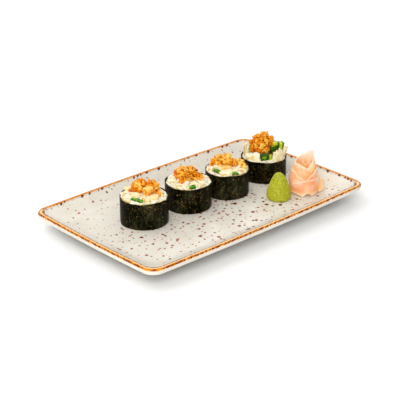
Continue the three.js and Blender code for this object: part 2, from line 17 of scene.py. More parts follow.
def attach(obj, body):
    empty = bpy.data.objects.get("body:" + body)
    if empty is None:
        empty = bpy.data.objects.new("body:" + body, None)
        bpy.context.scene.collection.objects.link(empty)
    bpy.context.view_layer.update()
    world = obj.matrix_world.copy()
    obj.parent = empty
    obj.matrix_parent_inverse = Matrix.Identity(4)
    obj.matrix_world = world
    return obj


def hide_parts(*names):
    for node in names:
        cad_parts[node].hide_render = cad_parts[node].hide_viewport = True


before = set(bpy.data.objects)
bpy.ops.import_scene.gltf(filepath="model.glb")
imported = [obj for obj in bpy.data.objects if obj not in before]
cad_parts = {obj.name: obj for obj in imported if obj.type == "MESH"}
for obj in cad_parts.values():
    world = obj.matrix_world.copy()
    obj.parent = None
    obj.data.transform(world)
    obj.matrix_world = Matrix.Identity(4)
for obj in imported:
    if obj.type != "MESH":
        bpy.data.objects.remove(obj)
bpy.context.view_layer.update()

# %% [markdown]
# Kitchen sizes are easier to read in millimetres, and Blender works in metres. So sizes are
# written in millimetres and multiplied by `MM` where they enter a mesh.

# %% Sizes shared by the whole serving
MM = 0.001
GAP = 0.3            # air between neighbouring pieces
FACING = -43         # degrees: the food is dressed to be seen from the dish's near corner
WELL = 8             # height of the floor of the dish
FOOD_BASE = WELL + GAP


def place(x, y, turn=FACING):
    """The frame of something that stands on the dish, in metres."""
    at = Matrix.Translation((x * MM, y * MM, FOOD_BASE * MM))
    return at @ Matrix.Rotation(math.radians(turn), 4, "Z")


print("food stands", FOOD_BASE, "mm up, turned by", FACING, "degrees")

# %% [markdown]
# ## Camera
# A long lens from a low three-quarter view keeps the far end of the dish almost as large as
# the near end. The camera looks down at 24 degrees, from the dish's near corner.

# %% Camera
LENS, SENSOR = 111.36, 36                   # mm
CAMERA_AT = (-0.71178, -0.75997, 0.48497)   # metres
AIM_AT = Vector((0.01948, 0.02580, 0))
camera_data = bpy.data.cameras.new("camera")
camera_data.lens = LENS
camera_data.sensor_width = SENSOR
camera = bpy.data.objects.new("camera", camera_data)
bpy.context.collection.objects.link(camera)
camera.location = CAMERA_AT
aim = AIM_AT - camera.location
camera.rotation_euler = aim.to_track_quat("-Z", "Y").to_euler()
bpy.context.scene.camera = camera
print("camera distance in m:", round(aim.length, 3))

# %% [markdown]
# ## Studio light
# Food on a white table needs light from all round, so an even white world does much of the
# work. A large soft key lamp at the left and a little behind gives the food its direction, and
# leaves one soft shadow under the near right edge of the dish. The strongest lamp fills from
# the front left. A small one behind draws the far edges, and one at the far right keeps the
# table white.

# %% Lights and floor
DISH_MIDDLE = Vector((0, 0, 0.02))
scene = bpy.context.scene
scene.view_settings.view_transform = "Standard"
world = bpy.data.worlds.new("studio")
world.use_nodes = True
sky = world.node_tree.nodes["Background"].inputs
sky["Color"].default_value = (1, 1, 1, 1)
sky["Strength"].default_value = 0.5
scene.world = world


def soft_lamp(name, at, size, watts, colour=(1, 1, 1)):
    """A square area lamp that points at the middle of the dish. at and size are in metres."""
    lamp = bpy.data.lights.new(name, "AREA")
    lamp.size, lamp.energy, lamp.color = size, watts, colour
    holder = bpy.data.objects.new(name, lamp)
    bpy.context.collection.objects.link(holder)
    holder.location = at
    holder.rotation_euler = (DISH_MIDDLE - holder.location).to_track_quat("-Z", "Y").to_euler()


soft_lamp("key", (-0.50, 0.64, 1.25), 1.5, 7.5, (1, 0.985, 0.955))
soft_lamp("front_fill", (-0.92, -0.82, 0.80), 1.0, 13, (1, 0.99, 0.97))
soft_lamp("edge_strip", (0.25, 1.30, 0.45), 0.5, 3)
soft_lamp("far_fill", (1.00, 0.60, 0.80), 0.9, 3.5)

floor_mesh = bpy.data.meshes.new("floor")
bm = bmesh.new()
bmesh.ops.create_grid(bm, x_segments=1, y_segments=1, size=8)
bm.to_mesh(floor_mesh)
bm.free()
floor = bpy.data.objects.new("floor", floor_mesh)
bpy.context.collection.objects.link(floor)
floor_finish = bpy.data.materials.new("white_table")
floor_finish.use_nodes = True
table = floor_finish.node_tree.nodes["Principled BSDF"]
table.inputs["Base Color"].default_value = (1, 1, 1, 1)
table.inputs["Roughness"].default_value = 0.7
table.inputs["Specular IOR Level"].default_value = 0.1
floor_mesh.materials.append(floor_finish)

# %% [markdown]
# ## Helpers for finishes
# Every finish is one Principled shader with a few texture nodes in front of it. `Finish`
# keeps the wiring short: `finish.add` makes a node and sets or links its inputs by name.


# %% Helper for materials
class Finish:
    """A material that is built node by node."""

    def __init__(self, name, **sockets):
        self.material = bpy.data.materials.new(name)
        self.material.use_nodes = True
        self.tree = self.material.node_tree
        self.shader = self.tree.nodes["Principled BSDF"]
        self.coordinates = self.add("ShaderNodeTexCoord")
        for socket, value in sockets.items():
            self.set(self.shader, socket.replace("_", " "), value)

    def set(self, node, socket, value):
        if isinstance(value, bpy.types.NodeSocket):
            self.tree.links.new(value, node.inputs[socket])
        else:
            node.inputs[socket].default_value = value

    def add(self, kind, settings=None, **sockets):
        node = self.tree.nodes.new(kind)
        for key, value in (settings or {}).items():
            setattr(node, key, value)
        for socket, value in sockets.items():
            self.set(node, socket.replace("_", " "), value)
        return node

    def object_place(self, scale=(1, 1, 1)):
        """Object coordinates in millimetres, stretched by scale."""
        stretched = self.add("ShaderNodeMapping", Vector=self.coordinates.outputs["Object"])
        stretched.inputs["Scale"].default_value = [1000 * s for s in scale]
        return stretched.outputs["Vector"]

    def noise(self, size, detail=2.0, rough=0.5, stretch=(1, 1, 1)):
        """Cloudy noise whose blotches are about `size` millimetres."""
        node = self.add("ShaderNodeTexNoise", Vector=self.object_place(stretch),
                        Scale=1 / size, Detail=detail, Roughness=rough)
        return node.outputs["Fac"]

    def range(self, value, low, high, to_low=0.0, to_high=1.0):
        """Maps low..high to to_low..to_high, and holds the ends."""
        node = self.add("ShaderNodeMapRange", Value=value)
        ends = {"From Min": low, "From Max": high, "To Min": to_low, "To Max": to_high}
        for socket, number in ends.items():
            node.inputs[socket].default_value = number
        return node.outputs["Result"]

    def math(self, operation, a, b=0.0):
        node = self.add("ShaderNodeMath", {"operation": operation})
        self.set(node, 0, a)
        self.set(node, 1, b)
        return node.outputs["Value"]

    def plus(self, a, b):
        return self.math("ADD", a, b)

    def times(self, first, *others):
        """The product of all the values."""
        for other in others:
            first = self.math("MULTIPLY", first, other)
        return first

    def mix(self, share, a, b):
        """Mixes two colours."""
        node = self.add("ShaderNodeMix", {"data_type": "RGBA"})
        self.set(node, 0, share)
        self.set(node, 6, a)
        self.set(node, 7, b)
        return node.outputs[2]

    def ramp(self, value, *stops):
        """A colour ramp. A stop is a position and the red, green and blue of a screen colour."""
        node = self.add("ShaderNodeValToRGB", Fac=value)
        points = node.color_ramp.elements
        while len(points) < len(stops):
            points.new(1)
        for point, (position, *colour) in zip(points, stops):
            point.position, point.color = position, rgb(*colour)
        return node.outputs["Color"]

    def attribute(self, name):
        return self.add("ShaderNodeAttribute", {"attribute_name": name}).outputs["Fac"]

    def bump(self, height, millimetres, strength):
        node = self.add("ShaderNodeBump", Height=height, Strength=strength, Distance=millimetres * MM)
        self.set(self.shader, "Normal", node.outputs["Normal"])

    def soften(self, weight, millimetres, reach=None):
        """Lets light travel under the skin. `reach` is how far red, green and blue get."""
        self.set(self.shader, "Subsurface Weight", weight)
        self.set(self.shader, "Subsurface Scale", millimetres * MM)
        if reach:
            self.set(self.shader, "Subsurface Radius", reach)

    def colour(self, value):
        """Gives the shader its base colour, and returns the finished material."""
        self.set(self.shader, "Base Color", value)
        return self.material


def rgb(red, green, blue):
    """A colour picked on a screen, 0 to 255, as the linear light that shaders use."""
    linear = [c / 255 / 12.92 if c <= 10 else ((c / 255 + 0.055) / 1.055) ** 2.4 for c in (red, green, blue)]
    return (*linear, 1)


print("cream as linear light:", [round(c, 3) for c in rgb(235, 230, 218)])

# %% [markdown]
# ## Helpers for meshes
# Each piece is shaped in a bmesh, Blender's editable mesh. `piece_from` turns it into an
# object at the origin that rides on the frame. `stamp` adds one more copy of a small shape,
# which is how hundreds of rice grains and crumbs come from a few prototypes.


# %% From a bmesh to a piece
def blank(*layers):
    """An empty bmesh, and float layers of these names for its corners."""
    bm = bmesh.new()
    return bm, *(bm.verts.layers.float.new(name) for name in layers)


def shape_from(bm, name="shape", smooth=True):
    """Keeps a bmesh as a mesh, to be stamped or to be made into a piece."""
    mesh = bpy.data.meshes.new(name)
    for face in bm.faces:
        face.smooth = smooth
    bm.to_mesh(mesh)
    bm.free()
    return mesh


def piece_from(bm, name, material, hides=(), smooth=True):
    """Makes the finished object of a bmesh. `hides` names the CAD nodes that it stands for."""
    mesh = shape_from(bm, name, smooth)
    mesh.materials.append(material)
    piece = bpy.data.objects.new(name, mesh)
    bpy.context.collection.objects.link(piece)
    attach(piece, "root")
    if hides:
        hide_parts(*hides)
    print(name, "faces:", len(mesh.polygons), "stands for", list(hides))


def stamp(bm, shape, matrix=Matrix.Identity(4), **values):
    """Adds a copy of a shape to bm, writes the values on all its corners and returns them."""
    first = len(bm.verts)
    bm.from_mesh(shape)
    bm.verts.ensure_lookup_table()
    fresh = bm.verts[first:]
    bmesh.ops.transform(bm, matrix=matrix, verts=fresh)
    for name, value in values.items():
        layer = bm.verts.layers.float[name]
        for vert in fresh:
            vert[layer] = value
    return fresh


print("pieces ride on root")

# %% [markdown]
# A shape is sized in millimetres, turned and moved by one matrix. Food is never quite smooth,
# so `roughen` pushes its skin in and out.


# %% Sizes, turns and rough skins
def scaled(x, y, z):
    return Matrix.Diagonal((x * MM, y * MM, z * MM, 1))


def turned(x=0, y=0, z=0):
    """A turn about x, then y, then z, in degrees."""
    about_x, about_y, about_z = (Matrix.Rotation(math.radians(angle), 4, axis)
                                 for angle, axis in ((x, "X"), (y, "Y"), (z, "Z")))
    return about_z @ about_y @ about_x


def moved(x, y, z):
    return Matrix.Translation((x * MM, y * MM, z * MM))


def stand(bm, matrix):
    """Puts a whole bmesh in its place, and returns it."""
    bmesh.ops.transform(bm, matrix=matrix, verts=bm.verts)
    return bm


def roughen(bm, height, size, seed):
    """Moves corners along their normals by smooth noise. height and size are in millimetres."""
    bm.normal_update()
    for vert in bm.verts:
        push = noise.noise(vert.co / (size * MM) + Vector((seed, seed * 1.7, -seed)))
        vert.co += vert.normal * push * height * MM


print("a turn of 90 degrees about z:", [round(v) for v in turned(z=90).to_3x3()[0]])

# %% [markdown]
# The dish, the nori, the rice, the fillings and the wasabi are all stacks of rings: a circle of
# edges is extruded again and again, and each new ring is put where the shape wants it.


# %% Stacks of rings
def ring_stack(sides, levels, point_at, capped=True):
    """A skin of rings, each extruded from the one before. point_at(level, side) is a corner in mm."""
    bm = bmesh.new()
    number = bm.verts.layers.int.new("number")
    level_of = bm.verts.layers.int.new("level")
    ring = bmesh.ops.create_circle(bm, segments=sides, radius=1)["verts"]
    for i, vert in enumerate(ring):
        vert[number] = i
    edges = first_edges = bm.edges[:]
    for level in range(levels):
        if level > 0:
            grown = bmesh.ops.extrude_edge_only(bm, edges=edges)["geom"]
            edges = [part for part in grown if isinstance(part, bmesh.types.BMEdge)]
            ring = [part for part in grown if isinstance(part, bmesh.types.BMVert)]
        for vert in ring:
            vert.co = Vector(point_at(level, vert[number])) * MM
            vert[level_of] = level
    if capped:
        for border, level in ((first_edges, 0), (edges, levels - 1)):
            cap = bmesh.ops.contextual_create(bm, geom=border)["faces"]
            middle = bmesh.ops.poke(bm, faces=cap)["verts"][0]
            middle[level_of] = level
    bmesh.ops.recalc_face_normals(bm, faces=bm.faces)
    return bm


def round_the_clock(sides, side, shift=0.0):
    """Angle of a corner of a ring, with its cosine and sine."""
    angle = 2 * math.pi * (side + shift) / sides
    return angle, math.cos(angle), math.sin(angle)


print("a quarter round:", [round(v, 2) for v in round_the_clock(4, 1)])

# %% [markdown]
# ## The dish
# The real dish is slip-cast stoneware: a flat well, a gentle slope, and a narrow rounded lip
# that stands over a small foot ring. A lathe can't make it, because it is rectangular. So one
# outline is drawn, and its edge is extruded ring by ring along the dish's section. Each
# corner keeps its distance from the outer edge in `from_edge`, so that the glaze can follow
# the rim.

# %% Outline and section of the dish
DISH = {"length": 267, "width": 163, "bow_ends": 1.5, "bow_sides": 2.1, "height": 18,
        "lip": 5, "slope": 14.5, "corner": 10.5, "well_corner": 13, "lip_side": 4.4,
        "foot_inset": 25, "foot_width": 4.5, "recess": 2}
CORNER_STEPS, LONG_STEPS, SHORT_STEPS = 12, 24, 16


def dish_outline(inset):
    """Corners of the outline, moved inwards by inset, in millimetres, from the near left side round."""
    reach = DISH["lip"] + DISH["slope"]
    share = min(max(inset, 0), reach) / reach
    radius = DISH["corner"] + (DISH["well_corner"] - DISH["corner"]) * share
    half_x, half_y = DISH["length"] / 2 - inset, DISH["width"] / 2 - inset
    x, y = half_x - radius, half_y - radius
    points = []
    corners = ((-x, -y, 180, LONG_STEPS), (x, -y, 270, SHORT_STEPS),
               (x, y, 0, LONG_STEPS), (-x, y, 90, SHORT_STEPS))
    for index, (cx, cy, start, steps) in enumerate(corners):
        for i in range(CORNER_STEPS + 1):
            angle = math.radians(start + 90 * i / CORNER_STEPS)
            points.append(Vector((cx + radius * math.cos(angle), cy + radius * math.sin(angle))))
        next_x, next_y, next_start, _ = corners[(index + 1) % 4]
        angle = math.radians(next_start)
        goal = Vector((next_x + radius * math.cos(angle), next_y + radius * math.sin(angle)))
        here = points[-1].copy()
        points += [here.lerp(goal, i / steps) for i in range(1, steps)]
    return [Vector((p.x * (1 + DISH["bow_ends"] / half_x * (1 - (p.y / half_y) ** 2)),
                    p.y * (1 + DISH["bow_sides"] / half_y * (1 - (p.x / half_x) ** 2)))) for p in points]


def rounded(path, steps=5):
    """Rounds the corners of a path of (inset, height, corner radius) points."""
    smooth = []
    for index, (x, z, radius) in enumerate(path):
        here = Vector((x, z))
        if radius == 0:
            smooth.append(here)
            continue
        before = Vector(path[index - 1][:2]) - here
        after = Vector(path[index + 1][:2]) - here
        start, end = here + before.normalized() * radius, here + after.normalized() * radius
        for i in range(steps + 1):
            t = i / steps
            smooth.append(start * (1 - t) ** 2 + here * 2 * t * (1 - t) + end * t ** 2)
    return smooth


top, lip, slope, foot = (DISH[key] for key in ("height", "lip", "slope", "foot_inset"))
foot_end = foot + DISH["foot_width"]
# Each entry is a distance inwards, a height and the radius of the corner that is made there.
# They run from the well over the lip and under the dish to the recess inside the foot.
dish_section = rounded([
    (lip + slope + 16, WELL, 0), (lip + slope - 1, WELL, 7), (lip + 0.4, top - 1.6, 1.0),
    (lip - 1.2, top, 1.3), (0, top, 1.5), (0.1, top - DISH["lip_side"] - 0.6, 1.0),
    (foot - 1.2, 1.2, 1.2), (foot, 0, 0.5), (foot_end, 0, 0.5),
    (foot_end + 1.2, DISH["recess"], 0.8), (foot_end + 8, DISH["recess"], 0)])
print("rings in the section:", len(dish_section), "corners in a ring:", len(dish_outline(0)))

# %% [markdown]
# Walking along the section tells how far each ring is from the outer edge of the lip. Rings in
# the well come out above zero, and rings on the outside and below come out below zero.

# %% Dish mesh
turning_down = Vector((0.35, top))      # where the top of the lip rounds over to its side
outer_top = min(range(len(dish_section)), key=lambda i: (dish_section[i] - turning_down).length)
walked = [0.0]
for here, there in zip(dish_section, dish_section[1:]):
    walked.append(walked[-1] + (there - here).length)
outlines = [dish_outline(spot.x) for spot in dish_section]
bm = ring_stack(len(outlines[0]), len(dish_section),
                lambda level, side: (*outlines[level][side], dish_section[level].y))
from_edge = bm.verts.layers.float.new("from_edge")
level_of = bm.verts.layers.int["level"]
for vert in bm.verts:
    vert[from_edge] = walked[outer_top] - walked[vert[level_of]]
print("dish faces:", len(bm.faces), "lip at", round(max(v.co.z for v in bm.verts) * 1000, 2), "mm")

# %% [markdown]
# The glaze is a warm white with iron specks in it. A Voronoi texture scatters one feature
# point per cell, and the distance to that point draws a round speck. Three sizes of cell give
# large, middling and dust-like specks, and a soft mask makes them denser in front of the
# rolls.

# %% Specks in the glaze
glaze = Finish("speckled_glaze", Roughness=0.16, Specular_IOR_Level=0.12)
flat = glaze.object_place()
axes = glaze.add("ShaderNodeSeparateXYZ", Vector=flat).outputs
edge = glaze.attribute("from_edge")
wobble = glaze.add("ShaderNodeTexNoise", Vector=flat, Scale=0.8, Detail=1.0)
wobbly = glaze.add("ShaderNodeVectorMath", {"operation": "MULTIPLY_ADD"})
for socket, value in enumerate((wobble.outputs["Color"], (1.2, 1.2, 1.2), flat)):
    glaze.set(wobbly, socket, value)


def specks(cell, radius, shift, reach, chance, where=None):
    """How deep a spot lies inside a round speck, in mm. `chance` is the share of the cells that
    hold a speck, and its random radius is at most `radius` mm times `reach`."""
    place_of = glaze.add("ShaderNodeVectorMath", {"operation": "ADD"})
    glaze.set(place_of, 0, where or wobbly.outputs["Vector"])
    glaze.set(place_of, 1, (shift, shift * 2, 0))
    cells = glaze.add("ShaderNodeTexVoronoi", {"voronoi_dimensions": "2D"},
                      Vector=place_of.outputs["Vector"], Scale=1 / cell)
    lot = glaze.add("ShaderNodeSeparateColor", Color=cells.outputs["Color"]).outputs["Red"]
    size = glaze.times(glaze.range(lot, 1 - chance, 1, 0.35 * radius, radius), reach,
                       glaze.math("GREATER_THAN", lot, 1 - chance))
    return glaze.math("SUBTRACT", size, glaze.times(cells.outputs["Distance"], cell))


# Denser between the rolls and the near side, thinner towards the ends.
off_x = glaze.math("DIVIDE", glaze.plus(axes["X"], 6), 105)
off_y = glaze.math("DIVIDE", glaze.plus(axes["Y"], 26), 62)
spread = glaze.plus(glaze.math("POWER", off_x, 2), glaze.math("POWER", off_y, 2))
dense = glaze.plus(glaze.range(glaze.math("SQRT", spread), 0.4, 1.3, 1.1, 0.56),
                   glaze.range(glaze.noise(34, detail=1), 0.35, 0.65, -0.12, 0.12))
big = specks(10.0, 1.95, 3, dense, 0.5)
medium = specks(6.0, 1.3, 17, dense, 0.5)
dust = specks(4.0, 0.85, 41, dense, 0.45)
print("glaze nodes:", len(glaze.tree.nodes))

# %% [markdown]
# The ground is a little cloudy. The dust is tan. A speck of iron is reddish brown, and it bleeds
# a tan fringe into the glaze. The specks lie on the upper side only.

# %% Colours of the glaze
clouds = glaze.noise(22, detail=3)
ground = glaze.mix(glaze.range(clouds, 0.3, 0.7), rgb(224, 218, 204), rgb(234, 229, 217))
iron = glaze.ramp(glaze.noise(7, detail=3),
                  (0.37, 72, 14, 4), (0.49, 130, 44, 12), (0.67, 188, 94, 36))
tan = glaze.mix(glaze.range(glaze.noise(6), 0.4, 0.6), rgb(204, 146, 84), rgb(182, 98, 36))
top_side = glaze.range(edge, -1.0, 0.5)
colour = glaze.mix(glaze.times(glaze.range(dust, 0, 0.25, 0, 0.85), top_side), ground, tan)
depth = glaze.math("MAXIMUM", big, medium)
colour = glaze.mix(glaze.times(glaze.range(depth, -0.3, 0.1), top_side, 0.7), colour, rgb(202, 122, 64))
colour = glaze.mix(glaze.times(glaze.range(depth, 0, 0.25), top_side), colour, iron)
print("glaze nodes:", len(glaze.tree.nodes))

# %% [markdown]
# The rim is brushed with an orange oxide. Along the near sides a cream band lies inside the
# orange one: it is partly thin glaze on the crest of the lip and partly a painted highlight.
# Short dark dashes follow the outer edge, and a thin brown line marks the foot of the lip.
# Along the far sides the wet oxide has run down into long dark drips. The underside is bare
# clay, painted a dull grey that also stands for painted shade under the dish.

# %% Oxide on the rim
near_end = glaze.range(axes["X"], -128, -120, 1, 0)
near_side = glaze.math("MAXIMUM", near_end, glaze.range(axes["Y"], -76, -69, 1, 0))


def by_side(far, near):
    """One number along the far sides of the dish, and another along the near ones."""
    return glaze.range(near_side, 0, 1, far, near)


uneven = glaze.range(glaze.noise(2.4, detail=3), 0.25, 0.75, -0.5, 0.5)
ragged = glaze.plus(edge, uneven)
past_band = glaze.math("SUBTRACT", ragged, by_side(3.7, 1.0))
# Painted highlight: the cream band along the near sides is partly thin glaze on the crest of the lip and
# partly a painted highlight.
cream_band = glaze.times(glaze.range(past_band, 1.1, 1.5, 1, 0), near_side, glaze.range(ragged, -1.6, -1.0))
colour = glaze.mix(cream_band, colour, rgb(250, 216, 152))
orange_band = glaze.times(glaze.range(past_band, -0.4, 0.2, 1, 0), glaze.range(ragged, -1.5, -0.9))
patchy = glaze.plus(glaze.noise(2.6, detail=3, rough=0.6), by_side(-0.04, 0))
oxide = glaze.ramp(patchy, (0.32, 128, 50, 2), (0.42, 200, 106, 4), (0.62, 232, 150, 24))
oxide = glaze.mix(by_side(0.45, 0), oxide, rgb(222, 156, 50))
colour = glaze.mix(orange_band, colour, oxide)
slant = glaze.times(edge, by_side(1.3, -1.0))
lengthways = glaze.plus(glaze.plus(axes["X"], axes["Y"]), slant)


def unrolled(squeeze):
    """The rim laid out flat, with its width squeezed so that round specks become long ones."""
    width = glaze.times(edge, squeeze)
    return glaze.add("ShaderNodeCombineXYZ", X=lengthways, Y=width).outputs["Vector"]


drip_length = glaze.math("MINIMUM", glaze.range(edge, 2.0, 3.0, 0, 1), glaze.range(edge, 4.2, 6.4, 1, 0))
drips = glaze.range(specks(5.0, 2.0, 71, drip_length, 0.8, unrolled(0.5)), -0.1, 0.15)
dash_length = glaze.range(edge, -0.4, 0.8, 1, 0)
dashes = glaze.range(specks(2.4, 1.4, 23, dash_length, 0.9, unrolled(0.3)), -0.1, 0.05)
runs = glaze.math("MAXIMUM", glaze.times(drips, by_side(1, 0)), glaze.times(dashes, near_side))
colour = glaze.mix(glaze.times(runs, glaze.range(edge, -1.8, -1.0)), colour, rgb(126, 36, 0))
line = glaze.times(glaze.range(ragged, 2.0, 2.3), glaze.range(ragged, 3.7, 4.2, 1, 0),
                   glaze.range(glaze.noise(2.2, detail=3), 0.34, 0.42), near_side)
colour = glaze.mix(line, colour, rgb(150, 66, 0))
# Painted shade: the underside is bare clay, painted a dull grey so that the shadow under the dish is deeper.
underside = glaze.range(edge, -7.0, -6.0, 1, 0)
colour = glaze.mix(underside, colour, rgb(164, 160, 150))
glaze.bump(glaze.noise(9, detail=2), 0.25, 0.5)
piece_from(bm, "dish_shell", glaze.colour(colour), hides=["dish"])

# %% [markdown]
# ## The rolls
# Each roll stands on its cut end. The same named values as in the CAD source describe it:
# where it stands, its fillings, the mounds of its crisp topping and its shavings of spring
# onion. Everything in a roll is placed in the roll's own frame, with x to the right and y away
# from the viewer.
#
# The rice bulges by `crown` in the middle and drops by `sag` at the rim. A filling stands
# `proud` of the roll's height, may `lean` over, and is turned by `turn` degrees. `skin` names
# the dark sides of a cucumber strip. A mound is a middle and three half sizes. The crumbs in
# `placed` are large ones that are listed one by one, with x, y, z, size and shade. `paler`
# lightens all the others.

# %% What is in each roll
NORI_WALL, LAP, LAP_ANGLE, RIPPLE = 0.6, 0.45, 32, 0.3
ROLLS = [
    {"x": -59.8, "y": 14.1, "radius": 22.2, "height": 24.8, "crown": 1.8, "sag": 0.5,
     "seam": 200, "seed": 11, "paler": -0.06,
     "surimi": [
         {"at": (-7.3, -5.8), "size": (8.4, 7.0), "proud": 4.4, "turn": 12},
         {"at": (-0.6, -9.4), "size": (5.4, 5.0), "proud": 3.0, "turn": -8},
         {"at": (3.6, -14.3), "size": (6.2, 5.4), "proud": 2.9, "turn": 6},
         {"at": (9.6, -10.4), "size": (7.2, 7.0), "proud": 4.2, "turn": -14},
         {"at": (-14.6, 8.0), "size": (6.0, 6.0), "proud": 4.4, "turn": 30}],
     "mounds": [((-4.2, 6.5, 3.0), (8.4, 7.6, 9.6)), ((7.1, 6.0, 3.0), (6.5, 7.0, 8.8)),
                ((12.5, -2.8, 1.5), (3.4, 5.4, 3.2)), ((-12.0, 1.6, 1.8), (3.3, 3.6, 3.2))],
     "golden": {"at": (3.7, -2.6, 4.8), "size": (8.6, 7.0, 8.6), "turn": 20},
     "onions": [{"from": (-10.8, -12.6), "to": (0.0, -19.0), "width": 2.6, "arch": 0.5, "lift": 0.6}]},
    {"x": -8.0, "y": 12.1, "radius": 21.8, "height": 24.0, "crown": 1.6, "sag": 0.5,
     "seam": 150, "seed": 23, "paler": 0.06,
     "surimi": [{"at": (-8.4, -14.4), "size": (6.0, 5.0), "proud": 1.8, "turn": -20}],
     "mounds": [((-4.0, 2.0, 3.0), (9.2, 9.6, 10.0)), ((2.9, 3.0, 4.0), (5.0, 6.4, 10.0)),
                ((9.0, 1.0, 2.2), (5.4, 7.2, 4.8)), ((-5.4, -9.2, 2.2), (3.0, 3.0, 2.6)),
                ((-10.4, 5.0, 5.0), (3.0, 3.8, 4.8))],
     "onions": [{"from": (1.2, -18.4), "to": (7.0, -16.6), "width": 3.4, "arch": 0.5, "lift": 0.2}]},
    {"x": 39.2, "y": 9.4, "radius": 20.9, "height": 23.7, "crown": 1.6, "sag": 0.5,
     "seam": 230, "seed": 37, "paler": 0.14,
     "surimi": [
         {"at": (-1.7, -14.4), "size": (8.8, 4.8), "proud": 2.3, "turn": 4},
         {"at": (7.3, -9.6), "size": (5.8, 5.4), "proud": 3.0, "turn": -10},
         {"at": (13.7, -6.7), "size": (5.2, 5.2), "proud": 2.4, "turn": 24}],
     "mounds": [((-6.0, 4.6, 3.0), (9.0, 8.0, 8.6)), ((0.5, 4.4, 4.0), (5.4, 6.6, 9.6)),
                ((9.0, 3.4, 2.5), (7.2, 7.0, 5.8)), ((15.0, 2.0, 1.6), (2.8, 5.2, 3.6)),
                ((-13.2, 3.0, 2.0), (3.4, 4.6, 3.8))],
     "golden": {"at": (-1.7, -6.2, 2.6), "size": (10.0, 6.4, 5.0), "turn": -6},
     "placed": [(0.8, -2.5, 9.0, 4.6, 1.05), (-2.4, -1.6, 7.4, 4.0, 1.05)],
     "onions": [{"from": (-12.6, -7.2), "to": (-7.0, -14.2), "width": 3.0, "arch": 0.6, "lift": 0.4},
                {"from": (4.2, -17.4), "to": (10.2, -15.8), "width": 2.4, "arch": 1.1, "lift": 0.4}]},
    {"x": 92.6, "y": 13.3, "radius": 22.1, "height": 21.5, "crown": 0.4, "sag": 1.8,
     "seam": 170, "seed": 51, "paler": 0,
     "surimi": [
         {"at": (-14.2, -7.8), "size": (8.0, 7.4), "proud": 4.4, "turn": 18},
         {"at": (-8.0, -14.2), "size": (7.2, 6.0), "proud": 6.6, "lean": (0.2, 1.8), "turn": -4}],
     "shreds": [
         {"at": (-17.2, 2.0), "size": (5.2, 7.6), "proud": 12.4, "lean": (-1.2, 0.2), "turn": 0},
         {"at": (12.6, -11.6), "size": (9.8, 5.2), "proud": 9.4, "lean": (0.6, 1.0), "turn": 47},
         {"at": (18.0, -3.6), "size": (6.4, 3.2), "proud": 11.6, "lean": (3.6, 0.2), "turn": 62},
         {"at": (-5.6, 14.6), "size": (9.0, 4.4), "proud": 8.0, "lean": (-0.6, 1.2), "turn": 14}],
     "cucumber": [
         {"at": (-0.4, -13.2), "size": (6.2, 6.2), "proud": 6.6, "turn": 45, "skin": ["end"]},
         {"at": (5.3, -11.9), "size": (3.2, 5.8), "proud": 5.1, "turn": -6, "skin": ["-x"]},
         {"at": (7.9, -3.8), "size": (4.2, 4.4), "proud": 10.8, "turn": 8, "skin": ["-x", "-y", "+x", "+y"]},
         {"at": (11.2, 2.4), "size": (6.6, 5.6), "proud": 13.0, "turn": -5, "skin": ["+x", "+y"]},
         {"at": (16.3, 4.2), "size": (4.8, 6.2), "proud": 11.6, "lean": (0.8, 0.2), "turn": 10,
          "skin": ["+x", "+y"]},
         {"at": (12.2, -1.3), "size": (2.8, 1.6), "proud": 10.4, "turn": 4, "skin": ["-x", "-y", "+x", "+y"]},
         {"at": (-12.4, 5.6), "size": (3.6, 5.0), "proud": 10.0, "turn": -8, "skin": ["+x"]},
         {"at": (5.4, 14.4), "size": (5.4, 5.0), "proud": 8.6, "turn": 20, "skin": ["+y"]}],
     "mounds": [((-4.0, 2.2, 9.0), (8.8, 8.0, 8.4)), ((0.4, 4.0, 13.0), (5.8, 5.8, 9.8)),
                ((4.6, 3.0, 10.0), (4.4, 5.6, 7.8)), ((-1.6, -5.0, 6.2), (6.0, 4.6, 5.0)),
                ((-9.2, 0.4, 8.4), (3.8, 4.6, 7.0))],
     "placed": [(-2.1, -6.6, 11.0, 6.4, 1.05), (2.0, -4.4, 16.0, 4.6, 1.05), (-9.0, 1.0, 17.6, 5.2, 0.6),
                (-12.2, 0.6, 14.0, 4.6, 0.5), (-5.6, 2.0, 19.4, 4.6, 0.75), (7.0, 3.0, 17.2, 4.8, 0.65)],
     "onions": []}]


def on_roll(roll, x=0, y=0, z=0):
    """The frame of a spot in a roll, given in millimetres in the roll's own frame."""
    return place(roll["x"], roll["y"]) @ moved(x, y, z)


def names(kind):
    """The CAD nodes of one kind of piece."""
    return sorted(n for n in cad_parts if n.split("_")[0] == kind)


def every(kind):
    """Each roll together with each of its pieces of one kind."""
    return [(roll, spec) for roll in ROLLS for spec in roll.get(kind, [])]


def rice_top(roll, x, y):
    """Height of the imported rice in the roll's frame, in millimetres."""
    share = math.hypot(x, y) / roll["radius"]
    lumps = math.sin(0.75 * x + roll["seed"]) * math.sin(0.82 * y + 1.7 * roll["seed"])
    return roll["height"] + roll["crown"] * (1 - share ** 4) - roll["sag"] * share ** 8 + 0.35 * lumps


for kind in ("surimi", "shreds", "cucumber", "golden", "onion"):
    print(kind, "nodes:", len(names(kind)))

# %% [markdown]
# ### Nori
# A sheet of roasted seaweed wraps each roll, and its end is pasted down over its start. It is
# half a millimetre thick, so it is drawn as a surface and solidified inwards. Real nori is
# pressed from chopped fronds: near black, with olive fibres and brown flecks that catch light.


